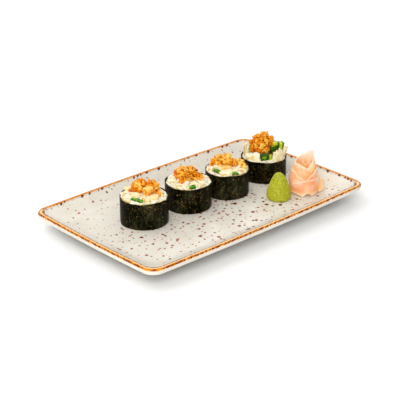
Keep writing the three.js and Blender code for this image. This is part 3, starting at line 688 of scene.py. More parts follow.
# %% Nori wraps
def nori_wrap(roll, sides=120, levels=19):
    """The wrap as a tube of rings that is given its thickness inwards."""
    def point_at(level, side):
        angle, c, s = round_the_clock(sides, side)
        up = level / (levels - 1)
        past = (angle - math.radians(roll["seam"])) % (2 * math.pi) / math.radians(LAP_ANGLE)
        on_lap = 1 - past ** 4 if past < 1 else 0
        reach = roll["radius"] + LAP * (on_lap - 0.5) * 0.9 - 0.25 * max(0, 1 - up / 0.07)
        reach += 0.16 * noise.noise(Vector((3 * c, 3 * s, 3 * up + roll["seed"])))
        ripple = math.sin(3 * angle + roll["seed"]) + 0.6 * math.sin(7 * angle + 2 * roll["seed"])
        return reach * c, reach * s, up * (roll["height"] + RIPPLE * ripple)

    bm = ring_stack(sides, levels, point_at, capped=False)
    bmesh.ops.solidify(bm, geom=bm.faces[:], thickness=NORI_WALL * MM)
    bmesh.ops.recalc_face_normals(bm, faces=bm.faces)
    return stand(bm, on_roll(roll))


seaweed = Finish("roasted_seaweed", Roughness=0.34, Specular_IOR_Level=0.04,
                 Specular_Tint=(1, 0.93, 0.6, 1))
fronds = seaweed.noise(2.6, detail=6, rough=0.7, stretch=(1, 1, 0.6))
base = seaweed.ramp(fronds, (0.42, 0, 1, 0), (0.54, 7, 8, 2), (0.7, 42, 44, 18))
# Lighter grey-olive patches, stretched upright: thin spots in the sheet and a painted sheen.
thin = seaweed.range(seaweed.noise(13, detail=1, stretch=(1, 1, 0.4)), 0.48, 0.64, 0, 0.55)
base = seaweed.mix(thin, base, seaweed.ramp(fronds, (0.42, 23, 23, 12), (0.62, 78, 77, 52)))
patches = seaweed.range(seaweed.noise(8, detail=2), 0.36, 0.6)
flecks = seaweed.range(seaweed.noise(1.6, detail=4, rough=0.7), 0.585, 0.63)
golden_fleck = seaweed.mix(seaweed.range(seaweed.noise(3), 0.4, 0.6), rgb(164, 118, 44), rgb(116, 102, 56))
seaweed.bump(seaweed.noise(1.2, detail=5, rough=0.75), 0.45, 1.0)
roasted_seaweed = seaweed.colour(seaweed.mix(seaweed.times(flecks, patches, 0.85), base, golden_fleck))
for index, roll in enumerate(ROLLS, 1):
    piece_from(nori_wrap(roll), f"nori_wrap_{index}", roasted_seaweed, hides=[f"nori_{index}"])

# %% [markdown]
# ### Rice
# Short-grain rice is seen only on top, but it fills the roll. A plain core of the right shape
# carries the weight, and some hundreds of real grains lie over it.


# %% Rice cores
UNDER_GRAINS, RIM_DROP = 0.6, 0.9


def inside(roll):
    """Radius of the room that the nori leaves for the rice."""
    return roll["radius"] - NORI_WALL - GAP


def rice_core(roll, sides=72):
    """A closed bed. `shares` is how far out each ring lies, from the foot to the middle of the top."""
    reach = inside(roll)
    shares = [1, 1, 0.97, 0.92, 0.85, 0.77, 0.68, 0.58, 0.47, 0.35, 0.22, 0.1]

    def point_at(level, side):
        _, c, s = round_the_clock(sides, side)
        x, y = shares[level] * reach * c, shares[level] * reach * s
        if level == 0:
            return x, y, 0
        wobble = 0.5 * noise.noise(Vector((x, y, roll["seed"])) / 1.8)
        return x, y, rice_top(roll, x, y) - UNDER_GRAINS - RIM_DROP * (level == 1) + wobble

    return stand(ring_stack(sides, len(shares), point_at), on_roll(roll))


bm, tone = blank("tone")
for roll in ROLLS:
    for vert in stamp(bm, shape_from(rice_core(roll))):
        vert[tone] = 0.28 + 0.5 * noise.noise(vert.co / (1.5 * MM))
cooked = Finish("cooked_rice", Roughness=0.38, Specular_IOR_Level=0.3)
cooked.soften(0.3, 2.4, (0.9, 0.7, 0.45))
cooked.bump(cooked.noise(1.2, detail=1), 0.1, 0.3)
cooked_rice = cooked.colour(cooked.ramp(cooked.attribute("tone"), (0.0, 194, 142, 54),
                                        (0.4, 230, 206, 146), (1.0, 245, 238, 216)))
piece_from(bm, "rice_cores", cooked_rice, hides=names("rice"))

# %% [markdown]
# A grain is a sphere with few faces, bent and stretched, because it is repeated so often. The
# mat presses the grains at the rim along the nori, and the others lie any way. No grain is
# laid where a filling, the topping or the onion would hide it.

# %% Rice grains
GRAIN = (6.8, 3.6, 3.1)          # length, width and thickness of a cooked grain
GRAIN_SPACING, GRAIN_TRIES = 3.0, 2600
RIM_ROW = 3.2                    # width of the row of grains that lie along the nori
TUCKED = 0.6                     # how far grains reach in under what hides them

bm = bmesh.new()
bmesh.ops.create_uvsphere(bm, u_segments=8, v_segments=6, radius=0.5)
for vert in bm.verts:
    vert.co.x += 0.12 * vert.co.z ** 2
bmesh.ops.rotate(bm, matrix=Matrix.Rotation(math.pi / 2, 3, "Y"), verts=bm.verts)
grain = shape_from(bm)


def strips_of(roll):
    return roll.get("surimi", []) + roll.get("shreds", []) + roll.get("cucumber", [])


def under_onion(roll, x, y, margin):
    """True within `margin` of a shaving of spring onion."""
    for spec in roll["onions"]:
        start, end = Vector(spec["from"]), Vector(spec["to"])
        _, share = intersect_point_line(Vector((x, y)), start, end)
        nearest = start.lerp(end, min(1, max(0, share)))
        if (Vector((x, y)) - nearest).length < margin:
            return True
    return False


def covered(roll, x, y):
    """True where a filling or the crisp heap hides the rice."""
    for (mx, my, _), (a, b, _) in roll["mounds"]:
        if math.hypot((x - mx) / (a - TUCKED), (y - my) / (b - TUCKED)) < 0.85:
            return True
    return any(math.hypot(x - s["at"][0], y - s["at"][1]) < sum(s["size"]) / 4 - TUCKED / 2
               for s in strips_of(roll))


bm, tone = blank("tone")
count = 0
for roll in ROLLS:
    draw = random.Random(roll["seed"])
    spots = []
    reach = inside(roll)
    for _ in range(GRAIN_TRIES):
        angle, far = 2 * math.pi * draw.random(), math.sqrt(draw.random()) * (reach - 1.0)
        x, y = far * math.cos(angle), far * math.sin(angle)
        crowded = any(math.hypot(x - a, y - b) < GRAIN_SPACING for a, b in spots)
        if crowded or covered(roll, x, y) or under_onion(roll, x, y, 1.8):
            continue
        spots.append((x, y))
        turn = draw.uniform(0, 360)
        if far > reach - RIM_ROW:
            turn = math.degrees(angle) + 90 + draw.uniform(-18, 18)
        size = draw.uniform(0.85, 1.1)
        where = on_roll(roll, x, y, rice_top(roll, x, y) - 0.9 + draw.uniform(-0.4, 0.5))
        shape = turned(x=draw.uniform(0, 90), y=draw.uniform(-16, 16), z=turn)
        shape = shape @ scaled(*(width * size for width in GRAIN))
        warm = 0.5 * (far > reach - RIM_ROW - 0.2) * draw.random()
        shade = draw.uniform(0.6, 1.0) - warm
        # Painted shade: each grain is lighter at its top and darker at its underside.
        for vert in stamp(bm, grain, where @ shape):
            vert[tone] = shade + 0.22 * (vert.co.z - where.translation.z) / MM
    count += len(spots)
print("grains of rice:", count)
piece_from(bm, "rice_grains", cooked_rice)

# %% [markdown]
# ### Fillings
# Strips of filling run right through a roll and stand up out of the rice. A strip is a stack of
# rings again, with a rounded rectangle as its section. The top is broken unevenly, as it is
# where a cook has pulled the strips apart.


# %% Strips of filling
def strip(roll, spec, sides, ragged, shift=(0, 0), up=0.0):
    """One strip as a bmesh, in metres on the dish. `shift` and `up` place one stick of a bundle."""
    size_x, size_y = spec["size"]
    rim, top_at = roll["height"] + 0.6, roll["height"] + spec["proud"] + up
    # A ring is a share of the full width and a height. The top is rounded off in four rings.
    rings = [(1, 0), (1, rim - 4), (1, rim)]
    steps = max(3, round((top_at - rim) / 1.2))
    rings += [(1, rim + (top_at - 1.1 - rim) * i / steps) for i in range(1, steps + 1)]
    rings += [(0.95, top_at - 0.5), (0.84, top_at - 0.15), (0.62, top_at), (0.34, top_at)]
    lean_x, lean_y = spec.get("lean", (0, 0))
    spin = math.radians(spec["turn"])
    seed = spec["at"][0] * 3.1 + spec["at"][1]

    def point_at(level, side):
        share, z = rings[level]
        _, c, s = round_the_clock(sides, side, 0.5)
        x = math.copysign(abs(c) ** 0.5, c) * (size_x / 2) * share + shift[0]
        y = math.copysign(abs(s) ** 0.5, s) * (size_y / 2) * share + shift[1]
        if z > rim:
            uneven = noise.noise(Vector((x / 2.2 + seed, y / 2.2, z / 3)))
            z += ragged * 1.6 * uneven * (z > top_at - 1.3)
            x += ragged * 0.7 * noise.noise(Vector((y / 1.6, z / 1.6, seed)))
            y += ragged * 0.7 * noise.noise(Vector((x / 1.6, z / 1.6, seed + 9)))
        above = max(0, z - rim) / (spec["proud"] - 0.6)
        return (spec["at"][0] + x * math.cos(spin) - y * math.sin(spin) + lean_x * above,
                spec["at"][1] + x * math.sin(spin) + y * math.cos(spin) + lean_y * above, z)

    return stand(ring_stack(sides, len(rings), point_at), on_roll(roll))


bm, tone, low = blank("tone", "low")
draw = random.Random(5)


def shade_low(verts, roll, proud):
    """Writes 1 on corners down at the rice and 0 on corners at the top of a piece, for painted shade."""
    for vert in verts:
        above = vert.co.z / MM - FOOD_BASE - roll["height"] - roll["crown"] * 0.6
        vert[low] = 1 - min(1, max(0, above / proud))


for roll, spec in every("surimi"):
    piece = shape_from(strip(roll, spec, sides=14, ragged=0.6))
    tint = 0.4 * draw.random() if "shreds" in roll else draw.random()
    shade_low(stamp(bm, piece, tone=tint), roll, spec["proud"])
print("corners of the strips:", len(bm.verts))

# %% [markdown]
# Bits of the same filling have dropped on the rice in front of the first three heaps. A bit is
# a small cube that noise has knocked out of shape. The filling is paler above and is painted
# darker and warmer down at the rice, as painted shade.

# %% Loose bits of filling
for roll in ROLLS[:3]:
    taken = [spec["at"] for spec in roll["surimi"]]
    apart = 7.4 if roll is ROLLS[0] else 5.2
    for _ in range(60):
        angle, far = math.radians(draw.uniform(180, 360)), draw.uniform(0.42, 0.74) * roll["radius"]
        x, y = far * math.cos(angle), far * math.sin(angle)
        if under_onion(roll, x, y, 4.2) or any(math.hypot(x - a, y - b) < apart for a, b in taken):
            continue
        taken.append((x, y))
        bit = bmesh.new()
        bmesh.ops.create_cube(bit, size=1)
        bmesh.ops.subdivide_edges(bit, edges=bit.edges[:], cuts=2, use_grid_fill=True)
        for vert in bit.verts:
            vert.co *= 1 + 0.5 * noise.noise(vert.co * 1.7 + Vector((x, y, 0)))
        size = scaled(draw.uniform(5.0, 7.0), draw.uniform(3.6, 5.0), draw.uniform(2.8, 3.8))
        where = on_roll(roll, x, y, rice_top(roll, x, y) + 0.6)
        tilt = turned(draw.uniform(-20, 20), draw.uniform(-20, 20), draw.uniform(0, 360))
        shade_low(stamp(bm, shape_from(bit), where @ tilt @ size, tone=draw.random()), roll, 2)
pulp = Finish("cream_filling", Roughness=0.34, Specular_IOR_Level=0.3)
pulp.soften(0.12, 1.5, (1.0, 0.7, 0.4))
streaks = pulp.noise(2.6, detail=3, stretch=(1, 1, 0.35))
warm = pulp.plus(streaks, pulp.range(pulp.attribute("tone"), 0, 1, -0.1, 0.1))
# Painted shade: the filling turns darker and warmer down at the rice.
warm = pulp.plus(warm, pulp.times(pulp.attribute("low"), 0.3))
pulp.bump(pulp.noise(0.9, detail=3), 0.2, 0.6)
cream_filling = pulp.colour(pulp.ramp(warm, (0.48, 248, 243, 218), (0.67, 246, 229, 168),
                                      (0.84, 234, 192, 94), (0.97, 208, 148, 54)))
piece_from(bm, "surimi_blocks", cream_filling, hides=names("surimi"), smooth=False)

# %% [markdown]
# The last roll also holds bundles of thin sticks. A bundle is the same strip, divided into a
# few sticks that end at different heights.

# %% Bundles of sticks
STICK = 1.9             # about how thick a stick is
bm, tone = blank("tone")
draw = random.Random(8)
for roll, spec in every("shreds"):
    columns, rows = (max(1, round(width / STICK)) for width in spec["size"])
    wide, deep = spec["size"][0] / columns, spec["size"][1] / rows
    stick = dict(spec, size=(wide * 0.92, deep * 0.95))
    for i in range(columns):
        for j in range(rows):
            shift = ((i + 0.5) * wide - spec["size"][0] / 2, (j + 0.5) * deep - spec["size"][1] / 2)
            mesh = strip(roll, stick, sides=12, ragged=0.35, shift=shift, up=draw.uniform(-2.4, 0.5))
            stamp(bm, shape_from(mesh), tone=draw.random())
thread = Finish("white_sticks", Roughness=0.36, Specular_IOR_Level=0.3)
thread.soften(0.12, 1.2)
fibre = thread.noise(1.6, detail=2, stretch=(1, 1, 0.2))
warm = thread.plus(fibre, thread.range(thread.attribute("tone"), 0, 1, -0.12, 0.12))
thread.bump(thread.noise(0.7, stretch=(1, 1, 0.3)), 0.15, 0.5)
white_sticks = thread.colour(thread.ramp(warm, (0.36, 252, 246, 222), (0.54, 246, 232, 188),
                                         (0.7, 226, 196, 122)))
piece_from(bm, "stick_bundles", white_sticks, hides=names("shreds"))

# %% [markdown]
# Cucumber keeps its dark skin on some sides of each strip. Every corner of the mesh knows how
# far it is from the skin, in `skin`, and the colour goes from dark green to pale flesh with it.
# One strip shows its cut `end`, which is ringed with skin.

# %% Cucumber
bm, skin = blank("skin")
for roll, spec in every("cucumber"):
    back = (on_roll(roll, *spec["at"]) @ turned(z=spec["turn"])).inverted()
    half_x, half_y = (width / 2 for width in spec["size"])
    for vert in stamp(bm, shape_from(strip(roll, spec, sides=32, ragged=0.5))):
        spot = back @ vert.co / MM
        away = {"+x": half_x - spot.x, "-x": half_x + spot.x, "+y": half_y - spot.y, "-y": half_y + spot.y}
        if spec["skin"] == ["end"]:
            across_end = half_x * 1.35 - abs(spot.x - spot.y) * 0.707
            down = roll["height"] + spec["proud"] - spot.z
            above_rice = spot.z - roll["height"] - 0.4
            vert[skin] = 0.5 * min(across_end, down, above_rice)
        else:
            vert[skin] = min(away[side] for side in spec["skin"])
green = Finish("cucumber", Roughness=0.25, Specular_IOR_Level=0.25)
green.soften(0.1, 1.2)
depth = green.plus(green.attribute("skin"), green.range(green.noise(1.6), 0.3, 0.7, -0.35, 0.35))
flesh = green.mix(green.range(green.noise(2.2, detail=3), 0.35, 0.65), rgb(190, 202, 22), rgb(226, 224, 66))
rind = green.mix(green.range(green.noise(1.4), 0.4, 0.6), rgb(16, 52, 0), rgb(48, 108, 0))
colour = green.mix(green.range(depth, 0.7, 1.1), rind, rgb(98, 146, 10))
green.bump(green.noise(0.9, detail=2), 0.15, 0.5)
cucumber_green = green.colour(green.mix(green.range(depth, 1.1, 2.0), colour, flesh))
piece_from(bm, "cucumber_strips", cucumber_green, hides=names("cucumber"))

# %% [markdown]
# Curved shavings of spring onion lie on the rice. A shaving is a grid that is bent over the
# rice and then given its thickness. It is pale along its middle and dark green at its edges.


# %% Spring onion
def bent_sheet(columns, rows, point_at, thickness):
    """A grid laid on the surface point_at(t, s), t and s in 0..1, thickened about its middle."""
    bm, across, upward = blank("across", "upward")
    bmesh.ops.create_grid(bm, x_segments=columns, y_segments=rows, size=0.5)
    for vert in bm.verts:
        vert[across], vert[upward] = vert.co.x + 0.5, vert.co.y + 0.5
        vert.co = Vector(point_at(vert[across], vert[upward])) * MM
    bm.normal_update()
    for vert in bm.verts:
        vert.co += vert.normal * thickness / 2 * MM
    bmesh.ops.solidify(bm, geom=bm.faces[:], thickness=thickness * MM)
    bmesh.ops.recalc_face_normals(bm, faces=bm.faces)
    return bm


def onion_shaving(roll, spec):
    start, end = Vector(spec["from"]), Vector(spec["to"])
    lengthways = (end - start).normalized()
    sideways = Vector((-lengthways.y, lengthways.x))

    def point_at(t, s):
        half = spec["width"] / 2 * math.sqrt(max(0.08, 1 - (2 * t - 1) ** 4))
        spot = start.lerp(end, t) + sideways * (2 * s - 1) * half
        rise = spec["arch"] * math.sin(math.pi * t) + 0.4 * (1 - (2 * s - 1) ** 2) + 0.9 * (s - 0.4)
        return spot.x, spot.y, rice_top(roll, spot.x, spot.y) + spec["lift"] + rise

    return stand(bent_sheet(24, 8, point_at, 0.7), on_roll(roll))


bm = blank("across", "upward")[0]
for roll, spec in every("onions"):
    stamp(bm, shape_from(onion_shaving(roll, spec)))
leaf = Finish("spring_onion", Roughness=0.32, Specular_IOR_Level=0.15)
leaf.soften(0.1, 1.0)
middle = leaf.math("ABSOLUTE", leaf.math("SUBTRACT", leaf.attribute("upward"), 0.5))
shade = leaf.plus(leaf.times(middle, -0.8), leaf.noise(1.8, detail=2))
leaf.bump(leaf.noise(0.8), 0.1, 0.5)
spring_onion = leaf.colour(leaf.ramp(shade, (0.0, 14, 62, 0), (0.28, 50, 122, 0),
                                     (0.6, 132, 178, 16)))
piece_from(bm, "onion_shavings", spring_onion, hides=names("onion"))

# %% [markdown]
# Two of the heaps hold a golden piece, which is a block that has puffed up unevenly in the hot
# oil. Its upper end is painted paler, as painted light from above, and its crust is glossy.


# %% Golden pieces
def golden_piece(roll):
    """The block, in its place on a roll."""
    bm = bmesh.new()
    bmesh.ops.create_cube(bm, size=1)
    bmesh.ops.bevel(bm, geom=bm.edges[:], offset=0.09, segments=2, affect="EDGES", profile=0.5, material=-1)
    bmesh.ops.subdivide_edges(bm, edges=bm.edges[:], cuts=2, use_grid_fill=True)
    upward = bm.verts.layers.float.new("upward")
    for vert in bm.verts:
        vert[upward] = vert.co.z + 0.5
    stand(bm, scaled(*(0.94 * width for width in roll["golden"]["size"])))
    roughen(bm, 0.35, 5.0, roll["seed"])
    x, y, z = roll["golden"]["at"]
    turn = turned(z=roll["golden"]["turn"] + 25)
    return stand(bm, on_roll(roll, x, y, roll["height"] + z) @ turn)


bm = blank("upward")[0]
for roll in ROLLS:
    if "golden" in roll:
        stamp(bm, shape_from(golden_piece(roll)))
amber = Finish("golden_crust", Roughness=0.15, Specular_IOR_Level=0.35)
amber.soften(0.35, 2.0, (1.0, 0.5, 0.15))
amber.bump(amber.noise(1.6, detail=2), 0.12, 0.4)
# Painted light: the upper end of the block is paler, as if lit from above.
paler_up = amber.range(amber.attribute("upward"), 0, 1, -0.16, 0.22)
glow = amber.plus(paler_up, amber.noise(3.6, detail=1))
golden_crust = amber.colour(amber.ramp(glow, (0.34, 222, 122, 8), (0.5, 244, 166, 40),
                                       (0.7, 254, 214, 122)))
piece_from(bm, "golden_pieces", golden_crust, hides=names("golden"))

# %% [markdown]
# ### Crisp topping
# Fried crumbs are piled loosely on each roll. Rounded mounds with a rough skin make the body of
# the heap, and they are cut off flat a little above the rice's edge.

# %% Bodies of the heaps
UNDER_CRUMBS = 1.3      # how far the skin of a mound lies under the outside of the crumbs
bm = blank("tone", "red")[0]
for roll in ROLLS:
    above_rice = (0, 0, (FOOD_BASE + roll["height"] + GAP) * MM)
    for index, ((x, y, z), half) in enumerate(roll["mounds"]):
        body = bmesh.new()
        bmesh.ops.create_icosphere(body, subdivisions=5, radius=1)
        size = scaled(*(reach - UNDER_CRUMBS for reach in half))
        stand(body, on_roll(roll, x, y, roll["height"] + z) @ size)
        roughen(body, 1.5, 2.6, roll["seed"] + index)
        roughen(body, 0.8, 1.1, roll["seed"] + index)
        everything = body.verts[:] + body.edges[:] + body.faces[:]
        cut = bmesh.ops.bisect_plane(body, geom=everything, dist=1e-6, plane_co=above_rice,
                                     plane_no=(0, 0, 1), clear_inner=True)["geom_cut"]
        rim = [part for part in cut if isinstance(part, bmesh.types.BMEdge)]
        if rim:
            bmesh.ops.contextual_create(body, geom=rim)
        stamp(bm, shape_from(body), tone=0.05, red=0.1)
fried = Finish("fried_crumbs", Roughness=0.3, Specular_IOR_Level=0.1)
fried.soften(0.12, 0.8, (1.0, 0.5, 0.15))
blotches = fried.range(fried.noise(1.5, detail=4, rough=0.6), 0.3, 0.7, -0.38, 0.32)
brown = fried.plus(fried.times(fried.attribute("tone"), 0.74), blotches)
fried.bump(fried.noise(0.7, detail=3, rough=0.6), 0.3, 0.8)
gold = fried.ramp(brown, (0.0, 138, 50, 0), (0.18, 204, 92, 0), (0.38, 234, 138, 4),
                  (0.64, 250, 178, 34), (0.92, 255, 222, 116))
fried_crumbs = fried.colour(fried.mix(fried.attribute("red"), gold, rgb(234, 84, 2)))
piece_from(bm, "crisp_heaps", fried_crumbs, hides=names("crisp"))

# %% [markdown]
# A few prototypes of broken crumbs are stamped all over the mounds, each with its own turn,
# size and shade. Crumbs in the clefts between mounds are painted darker, as painted shade, and
# a few spots are reddish. A kind of crumb is its three sizes and how spiky it is.

# %% Kinds of crumb
CRUMB_KINDS = {"lump": ((0.9, 0.85, 1.0), 1.1), "flake": ((1.3, 1.0, 0.45), 1.6),
               "shard": ((0.5, 0.45, 1.9), 1.4)}
CRUMB_MIX = [3, 3, 4]
CRUMB_SIZES = (1.9, 2.3, 2.7, 3.2, 4.0)
CRUMB_SPACING, CRUMB_TRIES = 1.4, 9000
RED_SPOTS = {11: [((-11, 2, 1), 6.5), ((-4, 4, 13), 3.5)], 23: [((-10.4, 5, 6), 4.0)],
             37: [((-13, 3, 2), 3.0)], 51: [((-7.4, 0.0, 16.6), 1.6)]}      # by the roll's seed


def crumb_shape(seed, size, spiky):
    """A broken crumb, made from a cube of 24 small faces and stretched to `size`."""
    bm = bmesh.new()
    bmesh.ops.create_cube(bm, size=0.8)
    bmesh.ops.subdivide_edges(bm, edges=bm.edges[:], cuts=1, use_grid_fill=True)
    for vert in bm.verts:
        vert.co = vert.co.lerp(vert.co.normalized() * 0.5, 0.6)
        vert.co *= 1 + spiky * noise.noise(vert.co * 2.6 + Vector((seed * 5.3, seed, 0)))
    return shape_from(stand(bm, Matrix.Diagonal((*size, 1))))


crumb_shapes = {kind: [crumb_shape(seed, *form) for seed in range(1, 6)]
                for kind, form in CRUMB_KINDS.items()}
print("prototypes of crumbs:", sum(len(shapes) for shapes in crumb_shapes.values()))

# %% [markdown]
# A crumb falls on the skin of a mound, more often of a large one, and stays where it fits.


# %% Where a crumb fits
def in_ellipsoid(spot, middle, half):
    """1 on the skin of the ellipsoid and less inside it."""
    return Vector([(spot[k] - middle[k]) / half[k] for k in range(3)]).length


def any_way(draw):
    """A random vector that favours no direction."""
    return Vector((draw.gauss(0, 1), draw.gauss(0, 1), draw.gauss(0, 1)))


def fits(roll, spot, spots):
    """True where a crumb lies over the rice, clear of the other crumbs and of the golden piece."""
    if spot.z < rice_top(roll, spot.x, spot.y) + 0.5 or spot.xy.length > roll["radius"] - 2:
        return False
    if any((spot - other).length < CRUMB_SPACING for other in spots):
        return False
    if "golden" not in roll:
        return True
    middle = Vector(roll["golden"]["at"]) + Vector((0, 0, roll["height"]))
    return in_ellipsoid(spot, middle, [width / 2 + 1.2 for width in roll["golden"]["size"]]) >= 1


print("crumbs lie at least", CRUMB_SPACING, "mm apart")

# %% [markdown]
# Each crumb points roughly outwards and is sunk a little into the mound. Crumbs that face up
# are painted lighter, as painted light. The large ones that are listed in `placed` come last.

# %% Loose crumbs
bm = blank("tone", "red")[0]
count = 0
for roll in ROLLS:
    draw = random.Random(roll["seed"] + 100)
    rim = Vector((0, 0, roll["height"]))
    mounds = [(Vector(at) + rim, half) for at, half in roll["mounds"]]
    weights = [half[0] * half[1] + half[1] * half[2] for _, half in mounds]
    spots = []
    for _ in range(CRUMB_TRIES):
        index = draw.choices(range(len(weights)), weights)[0]
        middle, half = mounds[index]
        way = any_way(draw).normalized()
        kind = draw.choices(list(CRUMB_KINDS), CRUMB_MIX)[0]
        sunk = 1.7 if kind == "shard" else 1.1
        spot = middle + Vector([w * (h - sunk) for w, h in zip(way, half)])
        others = [mound for mound in mounds if mound is not mounds[index]]
        # Painted shade: crumbs near the clefts between mounds get a darker tone.
        cleft = min([in_ellipsoid(spot, *mound) for mound in others] + [1.3])
        if cleft < 0.84 or not fits(roll, spot, spots):
            continue
        spots.append(spot)
        size = draw.choice(CRUMB_SIZES)
        outwards = (way + 0.5 * any_way(draw)).to_track_quat("Z", "X").to_matrix().to_4x4()
        shape = outwards @ turned(z=draw.uniform(0, 360)) @ scaled(size, size, size)
        reddish = draw.uniform(0, 0.08)
        for centre, reach in RED_SPOTS[roll["seed"]]:
            if (spot - rim - Vector(centre)).length < reach:
                reddish = draw.choice((0.05, 0.1, 0.4, 0.7))
        # Painted light: crumbs that face up get a lighter tone.
        shade = draw.triangular(0.0, 1.2, 0.5) - 0.75 * (1.3 - cleft) + 0.2 * way.z + 0.14 + roll["paler"]
        crumb = draw.choice(crumb_shapes[kind])
        stamp(bm, crumb, on_roll(roll, *spot) @ shape, tone=max(0, shade), red=reddish)
    for x, y, z, size, shade in roll.get("placed", []):
        shape = turned(draw.uniform(0, 360), draw.uniform(0, 360)) @ scaled(size, size, size)
        crumb = draw.choice(crumb_shapes["lump"])
        stamp(bm, crumb, on_roll(roll, x, y, roll["height"] + z) @ shape, tone=shade, red=0)
    count += len(spots)
print("crumbs:", count)
piece_from(bm, "crisp_crumbs", fried_crumbs, smooth=False)

# %% [markdown]
# ## The garnish
# The cone of wasabi was pressed by hand: a stack of rings with a rounded profile, a faint swell
# and a grainy skin.

# %% Wasabi
WASABI = {"x": 64.8, "y": -33.9, "height": 25.4, "foot": 10.6, "sides": 96, "rings": 44,
          "profile": [(0, 10.6), (1, 11.5), (2.8, 11.75), (7.7, 10.7), (13.9, 8.7), (20.1, 6.4),
                      (23.3, 4.6), (25.2, 2.0), (25.4, 0.4)]}


def look_up(pairs, x):
    """Straight-line look-up in (x, y) pairs."""
    for (x0, y0), (x1, y1) in zip(pairs, pairs[1:]):
        if x <= x1:
            break
    return y0 + (y1 - y0) * (x - x0) / (x1 - x0)


def cone_point(level, side):
    height = WASABI["height"]
    z = height * (level / WASABI["rings"])
    angle, c, s = round_the_clock(WASABI["sides"], side)
    radii = [look_up(WASABI["profile"], min(height, max(0, z + d))) for d in (-0.8, 0, 0.8)]
    reach = sum(radii) / 3 if z > 0 else WASABI["foot"]
    swell = 0.28 * math.sin(2 * angle + z / 4) + 0.5 * noise.noise(Vector((2.2 * c, 2.2 * s, z / 5)))
    reach += min(1, reach / 6) * swell
    return reach * c, reach * s, z


bm = ring_stack(WASABI["sides"], WASABI["rings"] + 1, cone_point)
roughen(bm, 0.15, 1.6, 3)
roughen(bm, 0.25, 0.8, 4)
stand(bm, place(WASABI["x"], WASABI["y"], 0))
paste = Finish("wasabi_paste", Roughness=0.55)
paste.soften(0.12, 1.5)
mottle = paste.noise(1.8, detail=5, rough=0.65)
paste.bump(paste.noise(1.0, detail=5, rough=0.7), 0.5, 0.9)
wasabi_paste = paste.colour(paste.ramp(mottle, (0.32, 144, 146, 0), (0.5, 174, 176, 10),
                                       (0.68, 200, 202, 38)))
piece_from(bm, "wasabi_cone", wasabi_paste, hides=["wasabi"])

# %% [markdown]
# Pickled ginger is cut in thin, wide slices that are wrapped into a rose. Each slice is a bent
# sheet: it covers an arc of the rose, and its foot, its top edge and its depth below the
# outermost slice change along that arc. The slices on the outside are pink, and the folds
# inside are orange with pale edges, painted a deeper orange lower down in the rose as painted
# shade. `inner` says which of the two a slice is.

# %% Slices of ginger
ROSE = {"x": 94.0, "y": -38.4, "slice": 0.8, "lean": 0.06,
        "outline": [(0, 13.4), (7, 14.1), (13, 14.4), (20, 13.0), (24, 12.0), (28, 10.7),
                    (34, 8.6), (42, 6.4)]}
SLICES = [
    {"arc": (-78, 84), "inset": [0, 0], "foot": [1.4, 2.4, 2.4, 1.0, 0.2, 3.0, 0.2, 1.0, 1.8, 0.8],
     "top": [6, 12, 15.2, 16.3, 16.6, 16.4], "flare": 1.6, "inner": 0},
    {"arc": (-128, 8), "inset": [0, 0.4, 1.0, 1.3, 1.7], "foot": [0.3],
     "top": [20.5, 22.4, 22.6, 18.2, 15], "inner": 0.05},
    {"arc": (6, 132), "inset": [2.6, 1.7, 1.0, 0.4], "foot": [0.3],
     "top": [15.8, 20.4, 24, 24, 21.5], "inner": 0.1},
    {"arc": (114, 242), "inset": [1.6, 1.6], "foot": [0.3], "top": [19, 23, 22, 20], "inner": 0.2},
    {"arc": (-104, -12), "inset": [1.8, 1.9, 2.1, 2.6], "foot": [1.5],
     "top": [26, 29.6, 28, 15.6], "inner": 0.2},
    {"arc": (-58, 58), "inset": [2.9, 3.2, 3.5, 3.6], "foot": [2],
     "top": [29.4, 27.8, 25.2, 20.2], "inner": 0.25},
    {"arc": (2, 112), "inset": [4.5, 4.0, 3.0, 2.0], "foot": [2],
     "top": [24.4, 28.2, 31, 31], "inner": 0.95},
    {"arc": (97, 286), "inset": [1.2, 0.9, 0.8, 0.8, 0.9], "foot": [1.5],
     "top": [31, 39.8, 36.8, 34.4, 32.4, 30.8, 29], "tip": 2.2, "inner": 0.95, "outside": 0.15},
    {"arc": (-126, -14), "inset": [5.0, 5.2, 5.4], "foot": [6], "top": [26, 28, 24], "inner": 0.95},
    {"arc": (-40, 215), "inset": [6.6, 6.4, 6.2, 6.0], "foot": [8],
     "top": [19, 19, 21, 27, 31.4, 25, 30.4], "inner": 0.95}]
TAIL = {"line": [Vector((11.6, 11.6)), Vector((28.0, 6.6)), Vector((14.2, -4.6))],
        "foot": [0.3, 0.3, 1.8, 0.4, 0.6], "top": [13, 10, 8, 11.5, 16], "lean": 0.12, "inner": 0.7}


def along(values, t):
    """The value at t in 0..1 of an evenly spread list, blended smoothly between entries."""
    spot = min(max(t, 0), 1) * (len(values) - 1)
    index = min(int(spot), max(len(values) - 2, 0))
    share = spot - index
    share = share * share * (3 - 2 * share)
    return values[index] + (values[min(index + 1, len(values) - 1)] - values[index]) * share


def height_at(spec, t, s):
    """Height of a slice at s in 0..1 between its foot and its top."""
    foot, top = along(spec["foot"], t), along(spec["top"], t)
    return foot + (top - foot) * s


def slice_surface(spec):
    """A slice that is wrapped round the rose."""
    start, end = spec["arc"]

    def point_at(t, s):
        angle = math.radians(start + (end - start) * t)
        z = height_at(spec, t, s)
        flare = spec.get("flare", 0) * math.exp(-z / 2.4) * (1 + 0.5 * math.sin(17 * t)) * (1 - t ** 3)
        tip = spec.get("tip", 0) * max(0, (z - 24) / 17) ** 2
        radius = look_up(ROSE["outline"], z) - along(spec["inset"], t) + flare + tip
        return radius * math.sin(angle) + ROSE["lean"] * max(0, z - 12), -radius * math.cos(angle), z

    return point_at


